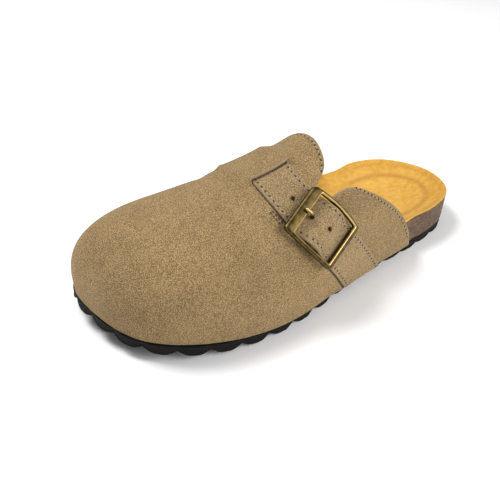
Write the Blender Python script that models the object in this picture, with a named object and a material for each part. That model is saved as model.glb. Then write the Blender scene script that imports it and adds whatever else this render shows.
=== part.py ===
"""A buckled clog slipper for the left foot: outsole, footbed, insole, hollow upper, straps and buckle.

The shoe is modelled with x from the back of the heel to the toe, y to the wearer's left and z up.
Every section is worked out from the last, a smooth form given by the length, the ball width, the
instep height and the heel height. At the end all pieces are moved so that the origin lies under the
middle of the shoe's bounding box.
"""
import math

import bmesh
import bpy
import numpy as np

# Driving sizes, in metres
LENGTH = 0.265
BALL_WIDTH = 0.1005
INSTEP_HEIGHT = 0.084
HEEL_HEIGHT = 0.024
SOLE_THICKNESS = 0.0055
TOE_SPRING = 0.0082
ARCH_RISE = 0.0012
LOBE_DEPTH = 0.0026
LOBE_SCALLOP = 0.0008
LOBE_PITCH = 0.0176
UPPER_WALL = 0.0018
VAMP_LAP = 0.0014
INSOLE_THICKNESS = 0.0010
STRAP_THICKNESS = 0.0018
STRAP_WIDTH = 0.0252
ANCHOR_FLARE = 0.0030
ANCHOR_THICKNESS = 0.0012
BUCKLE_WIDTH = 0.0315
BUCKLE_LENGTH = 0.0385
BUCKLE_THICKNESS = 0.0026
GRIP_BAR = 0.0058
END_BAR = 0.0040
SIDE_BAR = 0.0024
BUCKLE_BOW = 0.0012
BUCKLE_CORNER = 0.0025
BUCKLE_SKEW = 0.14
BUCKLE_BEVEL = 0.0006
PIN_RADIUS = 0.0012
PRONG_RADIUS = 0.0010
PRONG_BEND = 0.0078
PRONG_SAG = 0.0010
PRONG_HOLE = 0.0108
HOLE_RADIUS = 0.0013
HOLE_PITCH = 0.01185
GAP = 0.0003
BED_CLEARANCE = 0.0008
STRAP_SIDE_GAP = 0.0006
STEP_RUN = 0.0003
BRIDGE_RUN = {"tab": 0.012, "vamp": 0.014}

# The middle of the heel's back and of the toe's tip, as shares of the ball width
HEEL_MIDDLE = 0.015
TOE_MIDDLE = -0.080

# Outline of the outsole: share of the length, lateral and medial half width as shares of the ball width
OUTLINE = (
    (0.015, 0.167, 0.133),
    (0.050, 0.277, 0.260),
    (0.100, 0.335, 0.337),
    (0.160, 0.363, 0.368),
    (0.240, 0.383, 0.360),
    (0.340, 0.392, 0.338),
    (0.440, 0.420, 0.342),
    (0.540, 0.460, 0.383),
    (0.640, 0.497, 0.440),
    (0.720, 0.503, 0.479),
    (0.800, 0.482, 0.495),
    (0.870, 0.430, 0.488),
    (0.930, 0.345, 0.449),
    (0.970, 0.238, 0.383),
    (0.990, 0.112, 0.305),
)

# Form of the last: share of the length, crest height as a share of the instep height, exponent of the
# section's ellipse, bulge of the wall and overhang past the outsole as shares of the ball width
LAST = (
    (0.00, 0.600, 2.00, 0.000, 0.000),
    (0.20, 0.800, 2.00, 0.000, 0.015),
    (0.36, 0.960, 2.05, 0.010, 0.033),
    (0.46, 0.985, 2.05, 0.015, 0.022),
    (0.52, 0.926, 2.07, 0.015, 0.020),
    (0.60, 0.846, 2.09, 0.015, 0.019),
    (0.70, 0.796, 2.06, 0.017, 0.013),
    (0.80, 0.740, 2.26, 0.025, -0.003),
    (0.90, 0.685, 2.45, 0.055, -0.014),
    (1.00, 0.642, 2.47, 0.049, -0.006),
)

# Top of the footbed: share of the length, height of the bed, of its lateral and of its medial rim as
# shares of the heel height, and how flat the bed stays before it turns up to the rim
BED = (
    (0.00, 0.62, 1.00, 1.00, 3.0),
    (0.12, 0.58, 1.00, 1.00, 3.4),
    (0.24, 0.60, 0.98, 1.02, 3.4),
    (0.36, 0.70, 0.92, 1.12, 2.8),
    (0.48, 0.70, 0.84, 1.08, 2.8),
    (0.60, 0.58, 0.70, 0.84, 3.4),
    (0.72, 0.50, 0.60, 0.64, 4.0),
    (0.84, 0.46, 0.58, 0.58, 4.0),
    (1.00, 0.48, 0.64, 0.64, 4.0),
)

# Where the toe spring starts, and where the arch lifts off the ground, as shares of the length
SPRING_START = 0.62
ARCH_START = 0.30
ARCH_END = 0.56

# How far behind the toe and before the heel the spokes of the last fan out, as shares of the length
HEEL_FAN = 0.128
TOE_FAN = 0.189

# Middle line of the strap: its place on the rim, at both sides, and on the crest, as shares of the rim,
# and how far it bows to the toe on the lateral side
STRAP_ON_LATERAL_RIM = 0.430
STRAP_ON_MEDIAL_RIM = 0.4855
STRAP_ON_CREST = 0.590
STRAP_BOW = 0.09

# Upper edge of the quarters: place on the rim's length, share of the way up the section
LATERAL_QUARTER = ((0.270, 0.09), (0.292, 0.20), (0.318, 0.29), (0.360, 0.38), (0.400, 0.46), (0.440, 0.55))
MEDIAL_QUARTER = ((0.270, 0.09), (0.286, 0.17), (0.318, 0.26), (0.360, 0.32), (0.400, 0.36), (0.440, 0.40))
QUARTER_REAR = 0.262

# Rear edge of the tab: way round the section from the lateral rim (0) over the crest (1) to the medial
# rim (2), place along the rim
TAB_EDGE = (
    (0.70, 0.520), (0.73, 0.501), (0.78, 0.487), (0.88, 0.476), (1.00, 0.468),
    (1.18, 0.462), (1.34, 0.464), (1.42, 0.480), (1.48, 0.505),
)

# Rows of the upper from the rim to the crest: lateral side, medial side and, where they meet, the toe
LATERAL_ROWS = (0.00, 0.12, 0.24, 0.36, 0.47, 0.57, 0.64, 0.70, 0.81, 0.92, 0.95, 0.975, 1.00)
MEDIAL_ROWS = (0.00, 0.12, 0.23, 0.33, 0.42, 0.47, 0.52, 0.61, 0.70, 0.73, 0.82, 0.91, 1.00)
TOE_ROWS = (0.00, 0.09, 0.18, 0.27, 0.36, 0.45, 0.54, 0.62, 0.70, 0.78, 0.85, 0.925, 1.00)
LATERAL_MARKS = {"quarter": 5, "flap": 7, "slit": 9, "bridge": 10}
MEDIAL_MARKS = {"quarter": 4, "flap": 6, "slit": 8, "bridge": 9}
TAB_COLUMNS = 7
STRAP_COLUMNS = 5
VAMP_COLUMNS = 18

# Under side of the strap: way round the section, height over the last as a sum of the layers under it
STRAP_START = 1.68
STRAP_END = 0.279
PIN_PLACE = 0.463

CREST = 1.0
QUARTER_TURN = math.pi / 2


def spline(table, column, at):
    """Cubic curve through one column of a table of rows that start with the place."""
    rows = np.array(table, float)
    xs = rows[:, 0]
    ys = rows[:, column]
    step = np.diff(xs)
    count = len(xs)
    lhs = np.zeros((count, count))
    rhs = np.zeros(count)
    lhs[0, :2] = (2, 1)
    lhs[-1, -2:] = (1, 2)
    rhs[0] = 3 * (ys[1] - ys[0]) / step[0]
    rhs[-1] = 3 * (ys[-1] - ys[-2]) / step[-1]
    for i in range(1, count - 1):
        lhs[i, i - 1:i + 2] = (step[i], 2 * (step[i - 1] + step[i]), step[i - 1])
        rhs[i] = 3 * (step[i] * (ys[i] - ys[i - 1]) / step[i - 1] + step[i - 1] * (ys[i + 1] - ys[i]) / step[i])
    slope = np.linalg.solve(lhs, rhs)
    at = np.clip(np.asarray(at, float), xs[0], xs[-1])
    i = np.clip(np.searchsorted(xs, at) - 1, 0, count - 2)
    t = (at - xs[i]) / step[i]
    value = (2 * t**3 - 3 * t**2 + 1) * ys[i] + (t**3 - 2 * t**2 + t) * step[i] * slope[i]
    return value + (3 * t**2 - 2 * t**3) * ys[i + 1] + (t**3 - t**2) * step[i] * slope[i + 1]


def closed_curve(points, samples):
    """Smooth closed curve through points of the plan, with the same number of samples in each span."""
    p = np.array(points, float)
    count = len(p)
    after = np.roll(p, -1, axis=0)
    before = np.roll(p, 1, axis=0)
    span = np.linalg.norm(after - p, axis=1)
    past = np.roll(span, 1)
    lhs = np.zeros((count, count))
    for i in range(count):
        lhs[i, i - 1] = span[i]
        lhs[i, i] = 2 * (past[i] + span[i])
        lhs[i, (i + 1) % count] = past[i]
    rhs = 3 * ((span / past)[:, None] * (p - before) + (past / span)[:, None] * (after - p))
    slope = np.linalg.solve(lhs, rhs)
    t = (np.arange(samples) / samples)[None, :, None]
    start = p[:, None]
    end = after[:, None]
    leave = (slope * span[:, None])[:, None]
    arrive = (np.roll(slope, -1, axis=0) * span[:, None])[:, None]
    curve = (2 * t**3 - 3 * t**2 + 1) * start + (t**3 - 2 * t**2 + t) * leave
    curve = curve + (3 * t**2 - 2 * t**3) * end + (t**3 - t**2) * arrive
    return curve.reshape(-1, 2)


def make_rims():
    """Lateral and medial half of the outsole's outline, each from the heel to the toe by its arc share."""
    samples = 40
    lateral = [(s * LENGTH, wide * BALL_WIDTH) for s, wide, _ in OUTLINE]
    medial = [(s * LENGTH, -wide * BALL_WIDTH) for s, _, wide in reversed(OUTLINE)]
    heel = (0, HEEL_MIDDLE * BALL_WIDTH)
    toe = (LENGTH, TOE_MIDDLE * BALL_WIDTH)
    curve = closed_curve([heel, *lateral, toe, *medial], samples)
    half = samples * (len(lateral) + 1)
    halves = (curve[:half + 1], np.vstack([curve[half:], curve[:1]])[::-1])
    rims = []
    for line in halves:
        way = np.concatenate([[0], np.cumsum(np.linalg.norm(np.diff(line, axis=0), axis=1))])
        rims.append((way / way[-1], line, way[-1]))
    return rims


RIMS = make_rims()
SIDES = (1, -1)
RIM_ARC = RIMS[0][2]


def rim_point(u, side, outward):
    """Point of the plan at arc share u on the lateral (0) or medial (1) rim, moved outward."""
    share, line, _ = RIMS[side]
    u = np.asarray(u, float)
    reach = 0.004

    def at(v):
        return np.stack([np.interp(v, share, line[:, 0]), np.interp(v, share, line[:, 1])], -1)

    along = at(np.clip(u + reach, 0, 1)) - at(np.clip(u - reach, 0, 1))
    along = np.where((u < 1e-9)[..., None], (0, SIDES[side]), along)
    along = np.where((u > 1 - 1e-9)[..., None], (0, -SIDES[side]), along)
    along = along / np.linalg.norm(along, axis=-1, keepdims=True)
    out = np.stack([-along[..., 1], along[..., 0]], -1) * SIDES[side]
    return at(u) + out * np.asarray(outward)[..., None]


def middle_line():
    """Middle between both rims over the length, up to where the toe turns."""
    x = np.linspace(0.08, 0.85, 60) * LENGTH
    sides = [np.interp(x, line[:, 0], line[:, 1]) for _, line, _ in RIMS]
    return x, (sides[0] + sides[1]) / 2


MIDDLE = middle_line()


def spine_point(u):
    """Point of the plan where the two spokes at arc share u meet, under the crest."""
    u = np.asarray(u, float)
    ends = rim_point(u, 0, 0 * u)[..., 0] + rim_point(u, 1, 0 * u)[..., 0]
    share = ends / 2 / LENGTH
    x = (share + HEEL_FAN * (1 - share)**7 - TOE_FAN * share**5) * LENGTH
    return np.stack([x, np.interp(x, *MIDDLE)], -1)


def spring(x):
    """Height of the toe spring at x."""
    return TOE_SPRING * np.clip((x / LENGTH - SPRING_START) / (1 - SPRING_START), 0, 1)**2


def last_side(u, v, side):
    """Inner face of the upper at arc share u and share v of the way up one side's section."""
    flat = rim_point(u, side, 0 * np.asarray(u, float))[..., 0] / LENGTH
    over = spline(LAST, 4, flat) * BALL_WIDTH - UPPER_WALL
    rim = rim_point(u, side, over)
    spine = spine_point(u)
    power = 2 / spline(LAST, 2, flat)
    bulge = spline(LAST, 3, flat) * BALL_WIDTH * np.sin(2 * QUARTER_TURN * v)
    spoke = rim - spine
    length = np.linalg.norm(spoke, axis=-1)
    reach = np.abs(np.cos(QUARTER_TURN * v))**power + bulge / length
    plan = spine + spoke * reach[..., None]
    x = plan[..., 0]
    base = SOLE_THICKNESS + GAP + spring(x)
    crest = spline(LAST, 1, x / LENGTH) * INSTEP_HEIGHT - UPPER_WALL
    z = base + (crest - base) * np.abs(np.sin(QUARTER_TURN * v))**power
    return np.concatenate([plan, z[..., None]], -1)


def last_normal_side(u, v, side):
    """Outward direction of one side of the last."""
    d = 1e-3
    along = last_side(np.clip(u + d, 0, 1), v, side) - last_side(np.clip(u - d, 0, 1), v, side)
    up = last_side(u, np.clip(v + d, d, 1 - d), side) - last_side(u, np.clip(v - d, 0, 1 - 2 * d), side)
    out = np.cross(along, up) * -SIDES[side]
    return out / np.linalg.norm(out, axis=-1, keepdims=True)


def last_point(u, way, level):
    """Point at a height over the last. way goes from the lateral rim (0) over the crest (1) to the medial (2)."""
    u, way, level = np.broadcast_arrays(np.asarray(u, float), way, level)
    v = np.where(way > CREST, 2 - way, way)
    medial = (way > CREST)[..., None]
    place = np.where(medial, last_side(u, v, 1), last_side(u, v, 0))
    lateral_out = last_normal_side(u, v, 0)
    medial_out = last_normal_side(u, v, 1)
    out = np.where(medial, medial_out, lateral_out)
    shared = (v > 1 - 1e-9) | (u > 1 - 1e-9)
    out = np.where(shared[..., None], lateral_out + medial_out, out)
    out = np.where((v < 1e-9)[..., None], out * (1, 1, 0), out)
    out = out / np.linalg.norm(out, axis=-1, keepdims=True)
    return place + out * level[..., None]


def strap_middle(way):
    """Arc share of the strap's middle line."""
    way = np.asarray(way, float)
    turn = QUARTER_TURN * np.where(way > CREST, 2 - way, way)
    rise = np.sin(turn) + np.where(way > CREST, 0, STRAP_BOW) * np.sin(2 * turn)
    rim = np.where(way > CREST, STRAP_ON_MEDIAL_RIM, STRAP_ON_LATERAL_RIM)
    return rim + (STRAP_ON_CREST - rim) * rise


def measure_strap_scale():
    """Metres across the strap for each unit of arc share, along the way round."""
    way = np.linspace(0, 2, 81)
    u = strap_middle(way)
    d = 0.004
    ahead = np.clip(way + d, 0, 2)
    behind = np.clip(way - d, 0, 2)
    across = (last_point(u + d, way, 0.0) - last_point(u - d, way, 0.0)) / (2 * d)
    along = last_point(strap_middle(ahead), ahead, 0.0) - last_point(strap_middle(behind), behind, 0.0)
    along = along / np.linalg.norm(along, axis=-1, keepdims=True)
    return way, np.linalg.norm(np.cross(across, along), axis=-1)


STRAP_SCALE = measure_strap_scale()


def strap_line(way, sideways):
    """Arc share at a distance from the strap's middle line, positive to the toe."""
    return strap_middle(way) + sideways / np.interp(way, *STRAP_SCALE)


def skew(way):
    """How far a square cut across the strap runs on along the way round, from its rear to its front edge."""
    table = ((0.00, 0.0), (0.22, -0.065), (0.65, -0.065), (0.90, 0.0), (1.30, 0.0), (1.68, 0.03))
    return np.interp(way, *np.array(table).T)


def unit(vector):
    return vector / np.linalg.norm(vector)


def buckle_frame_axes():
    """Middle of the buckle on the last, its axes (the bars run askew), and the last's bend and twist below."""
    middle = last_point(strap_middle(PIN_PLACE), PIN_PLACE, 0.0)
    d = 0.01
    down = last_point(strap_middle(PIN_PLACE - d), PIN_PLACE - d, 0.0)
    up = last_point(strap_middle(PIN_PLACE + d), PIN_PLACE + d, 0.0)
    along = unit(down - up)
    scale = np.linalg.norm(down - up) / (2 * d)
    out = unit(last_point(strap_middle(PIN_PLACE), PIN_PLACE, 1.0) - middle)
    along = unit(along - out * along.dot(out))
    front = unit(np.cross(along, out) - BUCKLE_SKEW * along)
    reach = BUCKLE_LENGTH / 2 / scale
    ends = [last_point(strap_middle(w), w, 0.0) for w in (PIN_PLACE - reach, PIN_PLACE + reach)]
    drop = -sum((end - middle).dot(out) for end in ends) / 2
    twist = 0.0
    for end in (-1, 1):
        for edge in (-1, 1):
            way = PIN_PLACE - end * reach
            way = way + skew(way) * edge / 2
            corner = last_point(strap_line(way, edge * STRAP_WIDTH / 2), way, 0.0) - middle
            at_along, at_front, at_out = np.linalg.solve(np.array((along, front, out)).T, corner)
            twist += at_out / (at_along * at_front) / 4
    return middle, along, front, out, scale, drop, twist


PIN_MIDDLE, ALONG, FRONT, OUT, WAY_SCALE, LAST_DROP, LAST_TWIST = buckle_frame_axes()
FRAME_BEND = 0.55 * LAST_DROP


def buckle_point(along, front, out):
    """Point by its distances along the strap, to the front and out of the twisted plane at the buckle."""
    along, front, out = np.broadcast_arrays(np.asarray(along, float), front, out)
    out = out + LAST_TWIST * along * front
    return PIN_MIDDLE + along[..., None] * ALONG + front[..., None] * FRONT + out[..., None] * OUT


def strap_point(across, way, level):
    """Point of a strap: across from -1 (rear edge) to 1 (front edge). Round the pin it turns straight."""
    across, way, level = np.broadcast_arrays(np.asarray(across, float), way, level)
    half = STRAP_WIDTH / 2
    slanted = way + skew(way) * across / 2
    flare = ANCHOR_FLARE * np.clip(1 - way / PIN_PLACE, 0, 1) * (1 - across) / 2
    on_last = last_point(strap_line(slanted, across * half - flare), slanted, level)
    along = (PIN_PLACE - way) * WAY_SCALE
    sag = LAST_DROP * (along / (BUCKLE_LENGTH / 2))**2
    at_pin = buckle_point(along, across * half, level - sag)
    near = np.clip((0.013 - np.abs(along)) / 0.008, 0, 1)
    near = near * near * (3 - 2 * near)
    return on_last + (at_pin - on_last) * near[..., None]


# Layers over the last, from the inside to the outside
QUARTER_TOP = UPPER_WALL
ANCHOR_UNDER = QUARTER_TOP + GAP
ANCHOR_TOP = ANCHOR_UNDER + ANCHOR_THICKNESS
PIN_LEVEL = ANCHOR_UNDER + ANCHOR_THICKNESS + GAP + PIN_RADIUS
LOOP_RADIUS = PIN_RADIUS + GAP + ANCHOR_THICKNESS
STRAP_OVER_PIN = PIN_LEVEL + LOOP_RADIUS + GAP
STRAP_OVER_QUARTER = QUARTER_TOP + GAP
STRAP_OVER_ANCHOR = ANCHOR_TOP + GAP
STRAP_UNDER_BRIDGE = GAP
STRAP_IN_SLIT = (STRAP_OVER_QUARTER + STRAP_UNDER_BRIDGE) / 2
BRIDGE_UNDER = STRAP_UNDER_BRIDGE + STRAP_THICKNESS + 2 * GAP
BRIDGE_LIP = STRAP_IN_SLIT + STRAP_THICKNESS + 2 * GAP
GRIP_SHARE = 1 - GRIP_BAR / (BUCKLE_LENGTH / 2)
FRAME_UNDER = STRAP_OVER_ANCHOR + STRAP_THICKNESS + 3 * GAP - (LAST_DROP - FRAME_BEND) * GRIP_SHARE**2


def new_collection(name):
    collection = bpy.data.collections.new(name)
    bpy.context.scene.collection.children.link(collection)
    return collection


def new_material(name, colour, roughness, metallic=0.0):
    material = bpy.data.materials.new(name)
    material.use_nodes = True
    shader = material.node_tree.nodes["Principled BSDF"]
    shader.inputs["Base Color"].default_value = (*colour, 1)
    shader.inputs["Roughness"].default_value = roughness
    shader.inputs["Metallic"].default_value = metallic
    return material


def add_piece(name, points, faces, material, collection):
    """Object from points and faces, with equal points joined and the normals turned out."""
    mesh = bpy.data.meshes.new(name)
    mesh.from_pydata([tuple(p) for p in points], [], faces)
    work = bmesh.new()
    work.from_mesh(mesh)
    bmesh.ops.remove_doubles(work, verts=work.verts, dist=1e-7)
    bmesh.ops.triangulate(work, faces=work.faces, quad_method="SHORT_EDGE")
    bmesh.ops.recalc_face_normals(work, faces=work.faces)
    work.to_mesh(mesh)
    work.free()
    mesh.shade_smooth()
    mesh.set_sharp_from_angle(angle=math.radians(40))
    mesh.materials.append(material)
    piece = bpy.data.objects.new(name, mesh)
    collection.objects.link(piece)
    return piece


def ring_faces(rings, loop, closed_rings=False):
    """Quads between rings of equal length. The rings' points are closed, and so may be the row of rings."""
    faces = []
    for i in range(rings if closed_rings else rings - 1):
        for k in range(loop):
            here = i * loop
            there = (i + 1) % rings * loop
            after = (k + 1) % loop
            faces.append((here + k, here + after, there + after, there + k))
    return faces


def slab(name, top, under, sides, material, collection):
    """Closed body whose rings run over the top, down the medial side, back below and up the lateral side.

    top and under are (spokes, points, 3) from the lateral to the medial rim. sides is a list of pairs of
    lateral and medial points between them, from the top down. The end spokes fold onto themselves.
    """
    medial = [pair[1][:, None] for pair in sides]
    lateral = [pair[0][:, None] for pair in reversed(sides)]
    rings = np.concatenate([top, *medial, under[:, ::-1], *lateral], axis=1)
    return add_piece(name, rings.reshape(-1, 3), ring_faces(*rings.shape[:2]), material, collection)


def across_grid(u, reaches, rims):
    """Plan points from the lateral rim over the spine to the medial rim, at shares of each spoke."""
    spine = spine_point(u)
    rows = []
    for side, order in ((0, reaches), (1, reaches[-2::-1])):
        rows += [spine + (rims[side] - spine) * reach for reach in order]
    return np.stack(rows, axis=1)


def with_height(plan, z):
    z = np.broadcast_to(z, plan.shape[:-1])
    return np.concatenate([plan, z[..., None]], axis=-1)


def make_outsole(material, collection):
    """EVA outsole: flat on top, with lobes round its edge, a raised arch and the toe spring."""
    lobes = round(RIM_ARC / LOBE_PITCH)
    u = np.linspace(0, 1, 5 * lobes + 1)
    phase = u * lobes % 1
    groove = np.clip(np.abs(2 * phase - 1) * 1.35 - 0.35, 0, 1)**1.5
    rims = [rim_point(u, side, -LOBE_SCALLOP * groove) for side in (0, 1)]
    reaches = (1.0, 0.80, 0.55, 0.0)
    fade = (1.0, 0.85, 0.0, 0.0)
    depths = np.array(fade + fade[-2::-1]) * LOBE_DEPTH
    plan = across_grid(u, reaches, rims)
    x = plan[..., 0]
    along = np.clip((x / LENGTH - ARCH_START) / (ARCH_END - ARCH_START), 0, 1)
    arch = ARCH_RISE * np.sin(math.pi * along)**2
    under = with_height(plan, spring(x) + arch + groove[:, None] * depths)
    top = with_height(across_grid(u, (1.0, 0.86, 0.5, 0.0), rims), 0)
    top[..., 2] = SOLE_THICKNESS + spring(top[..., 0])
    return slab("outsole", top, under, [], material, collection)


def bed_sides(u, side, z):
    """Rim of the footbed at a height: flush with the sole at the heel, inside the upper further on."""
    flat = rim_point(u, side, 0 * u)[..., 0]
    over = spline(LAST, 4, flat / LENGTH) * BALL_WIDTH
    inside = np.clip((u - 0.20) / (QUARTER_REAR - 0.008 - 0.20), 0, 1)
    offset = (over - UPPER_WALL - BED_CLEARANCE) * inside
    rim = rim_point(u, side, offset)
    base = SOLE_THICKNESS + GAP + spring(flat)
    crest = spline(LAST, 1, flat / LENGTH) * INSTEP_HEIGHT - UPPER_WALL
    power = spline(LAST, 2, flat / LENGTH) / 2
    v = np.arcsin(np.clip((z - base) / (crest - base), 0, 1)**power) / QUARTER_TURN
    lean = last_side(u, v, side)[..., :2] - last_side(u, 0 * v, side)[..., :2]
    return rim + lean * inside[:, None]


def bed_rim_share(u, share, side):
    """Height of the footbed's rim as a share of the heel height. Both sides agree at the heel and the toe."""
    both = (spline(BED, 2, share) + spline(BED, 3, share)) / 2
    own = np.clip(np.minimum(u, 1 - u) / 0.12, 0, 1)
    return both + (spline(BED, 2 + side, share) - both) * own * own * (3 - 2 * own)


def bed_top(plan, u, reaches, lift):
    """Height of the footbed's top over plan points that run from the lateral to the medial rim."""
    x = plan[..., 0]
    share = x / LENGTH
    reach = np.array(reaches + reaches[-2::-1])
    lateral = np.arange(plan.shape[1]) < len(reaches)
    rim = np.where(lateral, bed_rim_share(u[:, None], share, 0), bed_rim_share(u[:, None], share, 1))
    bed = spline(BED, 1, share)
    cup = reach**spline(BED, 4, share)
    scale = HEEL_HEIGHT - INSOLE_THICKNESS - GAP
    return (bed + (rim - bed) * cup) * scale + spring(x) + lift


def bed_rims(u, lift):
    """Rim points of the footbed's top on both sides, raised by lift."""
    scale = HEEL_HEIGHT - INSOLE_THICKNESS - GAP
    rims = []
    for side in (0, 1):
        x = rim_point(u, side, 0 * u)[..., 0]
        z = bed_rim_share(u, x / LENGTH, side) * scale + spring(x) + lift
        rims.append(bed_sides(u, side, z))
    return rims


BED_REACHES = (1.0, 0.93, 0.82, 0.66, 0.42, 0.0)
BED_SPOKES = 44


def make_footbed(material, collection):
    """Cork footbed: heel cup, arch, ball hollow and a raised rim; its side follows the upper."""
    u = np.linspace(0, 1, BED_SPOKES + 1)
    rims = bed_rims(u, 0.0)
    plan = across_grid(u, BED_REACHES, rims)
    top = with_height(plan, bed_top(plan, u, BED_REACHES, 0.0))
    base = SOLE_THICKNESS + GAP
    sides = []
    for down in (0.5, 0.85):
        pair = []
        for side in (0, 1):
            low = base + spring(rims[side][:, 0])
            z = top[:, -side, 2] * (1 - down) + low * down
            pair.append(with_height(bed_sides(u, side, z), z))
        sides.append(pair)
    feet = [bed_sides(u, side, base + spring(rim_point(u, side, 0 * u)[..., 0])) for side in (0, 1)]
    under = with_height(across_grid(u, (1.0, 0.5, 0.0), feet), 0)
    under[..., 2] = base + spring(under[..., 0])
    return slab("footbed", top, under, sides, material, collection)


def make_insole(material, collection):
    """Suede lining sheet on the footbed, from rim to rim."""
    u = np.linspace(0, 1, BED_SPOKES + 1)
    sheets = []
    for lift in (GAP, GAP + INSOLE_THICKNESS):
        rims = bed_rims(u, lift)
        plan = across_grid(u, BED_REACHES, rims)
        sheets.append(with_height(plan, bed_top(plan, u, BED_REACHES, lift)))
    return slab("insole", sheets[1], sheets[0], [], material, collection)


def side_rows(rows, toe_rows, along_vamp):
    """Heights of the rows: the side's own at the strap, the shared ones at the toe."""
    near = np.array(rows)
    far = np.array(toe_rows)
    share = along_vamp * along_vamp * (3 - 2 * along_vamp)
    return near + (far - near) * share


def upper_columns():
    """Columns from the rear edge to the toe, as (zone, share of the zone)."""
    columns = [("tab", i / TAB_COLUMNS) for i in range(TAB_COLUMNS + 1)]
    columns += [("strap", i / STRAP_COLUMNS) for i in range(1, STRAP_COLUMNS + 1)]
    columns += [("vamp", i / VAMP_COLUMNS) for i in range(VAMP_COLUMNS + 1)]
    return columns


def upper_row_place(zone, share, row, side):
    """Arc share and way up (rim 0, crest 1) of one vertex of the upper."""
    rows = (LATERAL_ROWS, MEDIAL_ROWS)[side]
    marks = (LATERAL_MARKS, MEDIAL_MARKS)[side]
    edge = (LATERAL_QUARTER, MEDIAL_QUARTER)[side]
    v = rows[row]
    rear_side = -(STRAP_WIDTH / 2 + STRAP_SIDE_GAP)
    front_side = STRAP_WIDTH / 2 + STRAP_SIDE_GAP

    def way(height):
        return height if side == 0 else 2 - height

    if zone == "vamp":
        v = side_rows(rows, TOE_ROWS, share)[row]
        start = strap_line(way(v), front_side + STEP_RUN)
        return start + (1 - start) * share, v
    if zone == "strap":
        rear = strap_line(way(v), rear_side)
        front = strap_line(way(v), front_side)
        return rear + (front - rear) * share, v
    rear_line = strap_line(way(v), rear_side)
    if row > marks["quarter"]:
        start = spline(TAB_EDGE, 1, way(v))
        return start + (rear_line - start) * share, v
    top = rows[marks["quarter"]]
    top_line = strap_line(way(top), rear_side)
    table = edge + ((float(top_line), top),)
    along = np.array([0.0] + list(np.cumsum(np.hypot(*(np.diff(np.array(table), axis=0).T * ((2.0,), (1.0,)))))))
    along = along / along[-1]
    keyed = [(along[i], *table[i]) for i in range(len(table))]
    edge_u = float(spline(keyed, 1, share))
    edge_v = float(spline(keyed, 2, share))
    foot = QUARTER_REAR + (float(strap_line(way(0.0), rear_side)) - QUARTER_REAR) * share
    height = edge_v * row / marks["quarter"]
    if share > 0.999:
        return float(strap_line(way(v), rear_side)), v
    rise = math.sin(QUARTER_TURN * height) / math.sin(QUARTER_TURN * edge_v)
    return foot + (edge_u - foot) * rise, height


def bridge_ramp(zone, share, u, line):
    """How much of the bridge's lift a column keeps, from the distance to the strap's edge."""
    if zone == "strap":
        return 1.0
    away = abs(u - line) * RIM_ARC
    fall = min(max(1 - away / BRIDGE_RUN[zone], 0), 1)
    return fall * fall * (3 - 2 * fall)


def upper_levels(zone, share, row, side, u, v):
    """Heights over the last of the upper's inner and outer face at one vertex."""
    marks = (LATERAL_MARKS, MEDIAL_MARKS)[side]
    way = v if side == 0 else 2 - v
    half = STRAP_WIDTH / 2 + STRAP_SIDE_GAP
    line = strap_line(way, half if zone == "vamp" else -half)
    ramp = bridge_ramp(zone, share, u, line)
    if row >= marks["bridge"]:
        under = BRIDGE_LIP if row == marks["bridge"] else BRIDGE_UNDER
        return under * ramp, under * ramp + UPPER_WALL
    if zone == "vamp":
        return 0.0, UPPER_WALL + VAMP_LAP * ramp
    return 0.0, UPPER_WALL


def make_upper(material, collection):
    """Hollow upper in one wall: quarters, tab, bridge over the strap and vamp, open at heel and below."""
    columns = upper_columns()
    last_row = len(TOE_ROWS) - 1
    places = [(0, row) for row in range(last_row + 1)] + [(1, row) for row in range(last_row - 1, -1, -1)]
    count = len(places)
    u = np.zeros((len(columns), count))
    way = np.zeros_like(u)
    under = np.zeros_like(u)
    over = np.zeros_like(u)
    for i, (zone, share) in enumerate(columns):
        for j, (side, row) in enumerate(places):
            u[i, j], v = upper_row_place(zone, share, row, side)
            way[i, j] = v if side == 0 else 2 - v
            under[i, j], over[i, j] = upper_levels(zone, share, row, side, u[i, j], v)
    inner = last_point(u, way, under)
    outer = last_point(u, way, over)

    def there(i, j):
        """Whether the wall has a cell between columns i and i + 1 and rows j and j + 1."""
        if i < 0 or j < 0 or i >= len(columns) - 1 or j >= count - 1:
            return i >= len(columns) - 1
        zone = columns[i + 1][0] if columns[i][0] != "tab" or columns[i][1] > 0.999 else "tab"
        if columns[i][0] == "vamp":
            return True
        if columns[i][0] == "strap" and columns[i][1] > 0.999:
            zone = "strap"
        side = 0 if j < last_row else 1
        row = j if side == 0 else count - 2 - j
        marks = (LATERAL_MARKS, MEDIAL_MARKS)[side]
        if marks["quarter"] <= row < marks["flap"]:
            return False
        return zone == "tab" or not marks["slit"] <= row < marks["bridge"]

    def index(i, j, face):
        return (i * count + j) * 2 + face

    points = np.stack([inner, outer], axis=2).reshape(-1, 3)
    faces = []
    for i in range(len(columns) - 1):
        for j in range(count - 1):
            if not there(i, j):
                continue
            corners = ((i, j), (i + 1, j), (i + 1, j + 1), (i, j + 1))
            faces.append([index(*c, 1) for c in corners])
            faces.append([index(*c, 0) for c in reversed(corners)])
            beside = ((i, j - 1), (i + 1, j), (i, j + 1), (i - 1, j))
            for k in range(4):
                if not there(*beside[k]):
                    a = corners[k]
                    b = corners[(k + 1) % 4]
                    faces.append((index(*a, 0), index(*b, 0), index(*b, 1), index(*a, 1)))
    return add_piece("upper", points, faces, material, collection)


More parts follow.
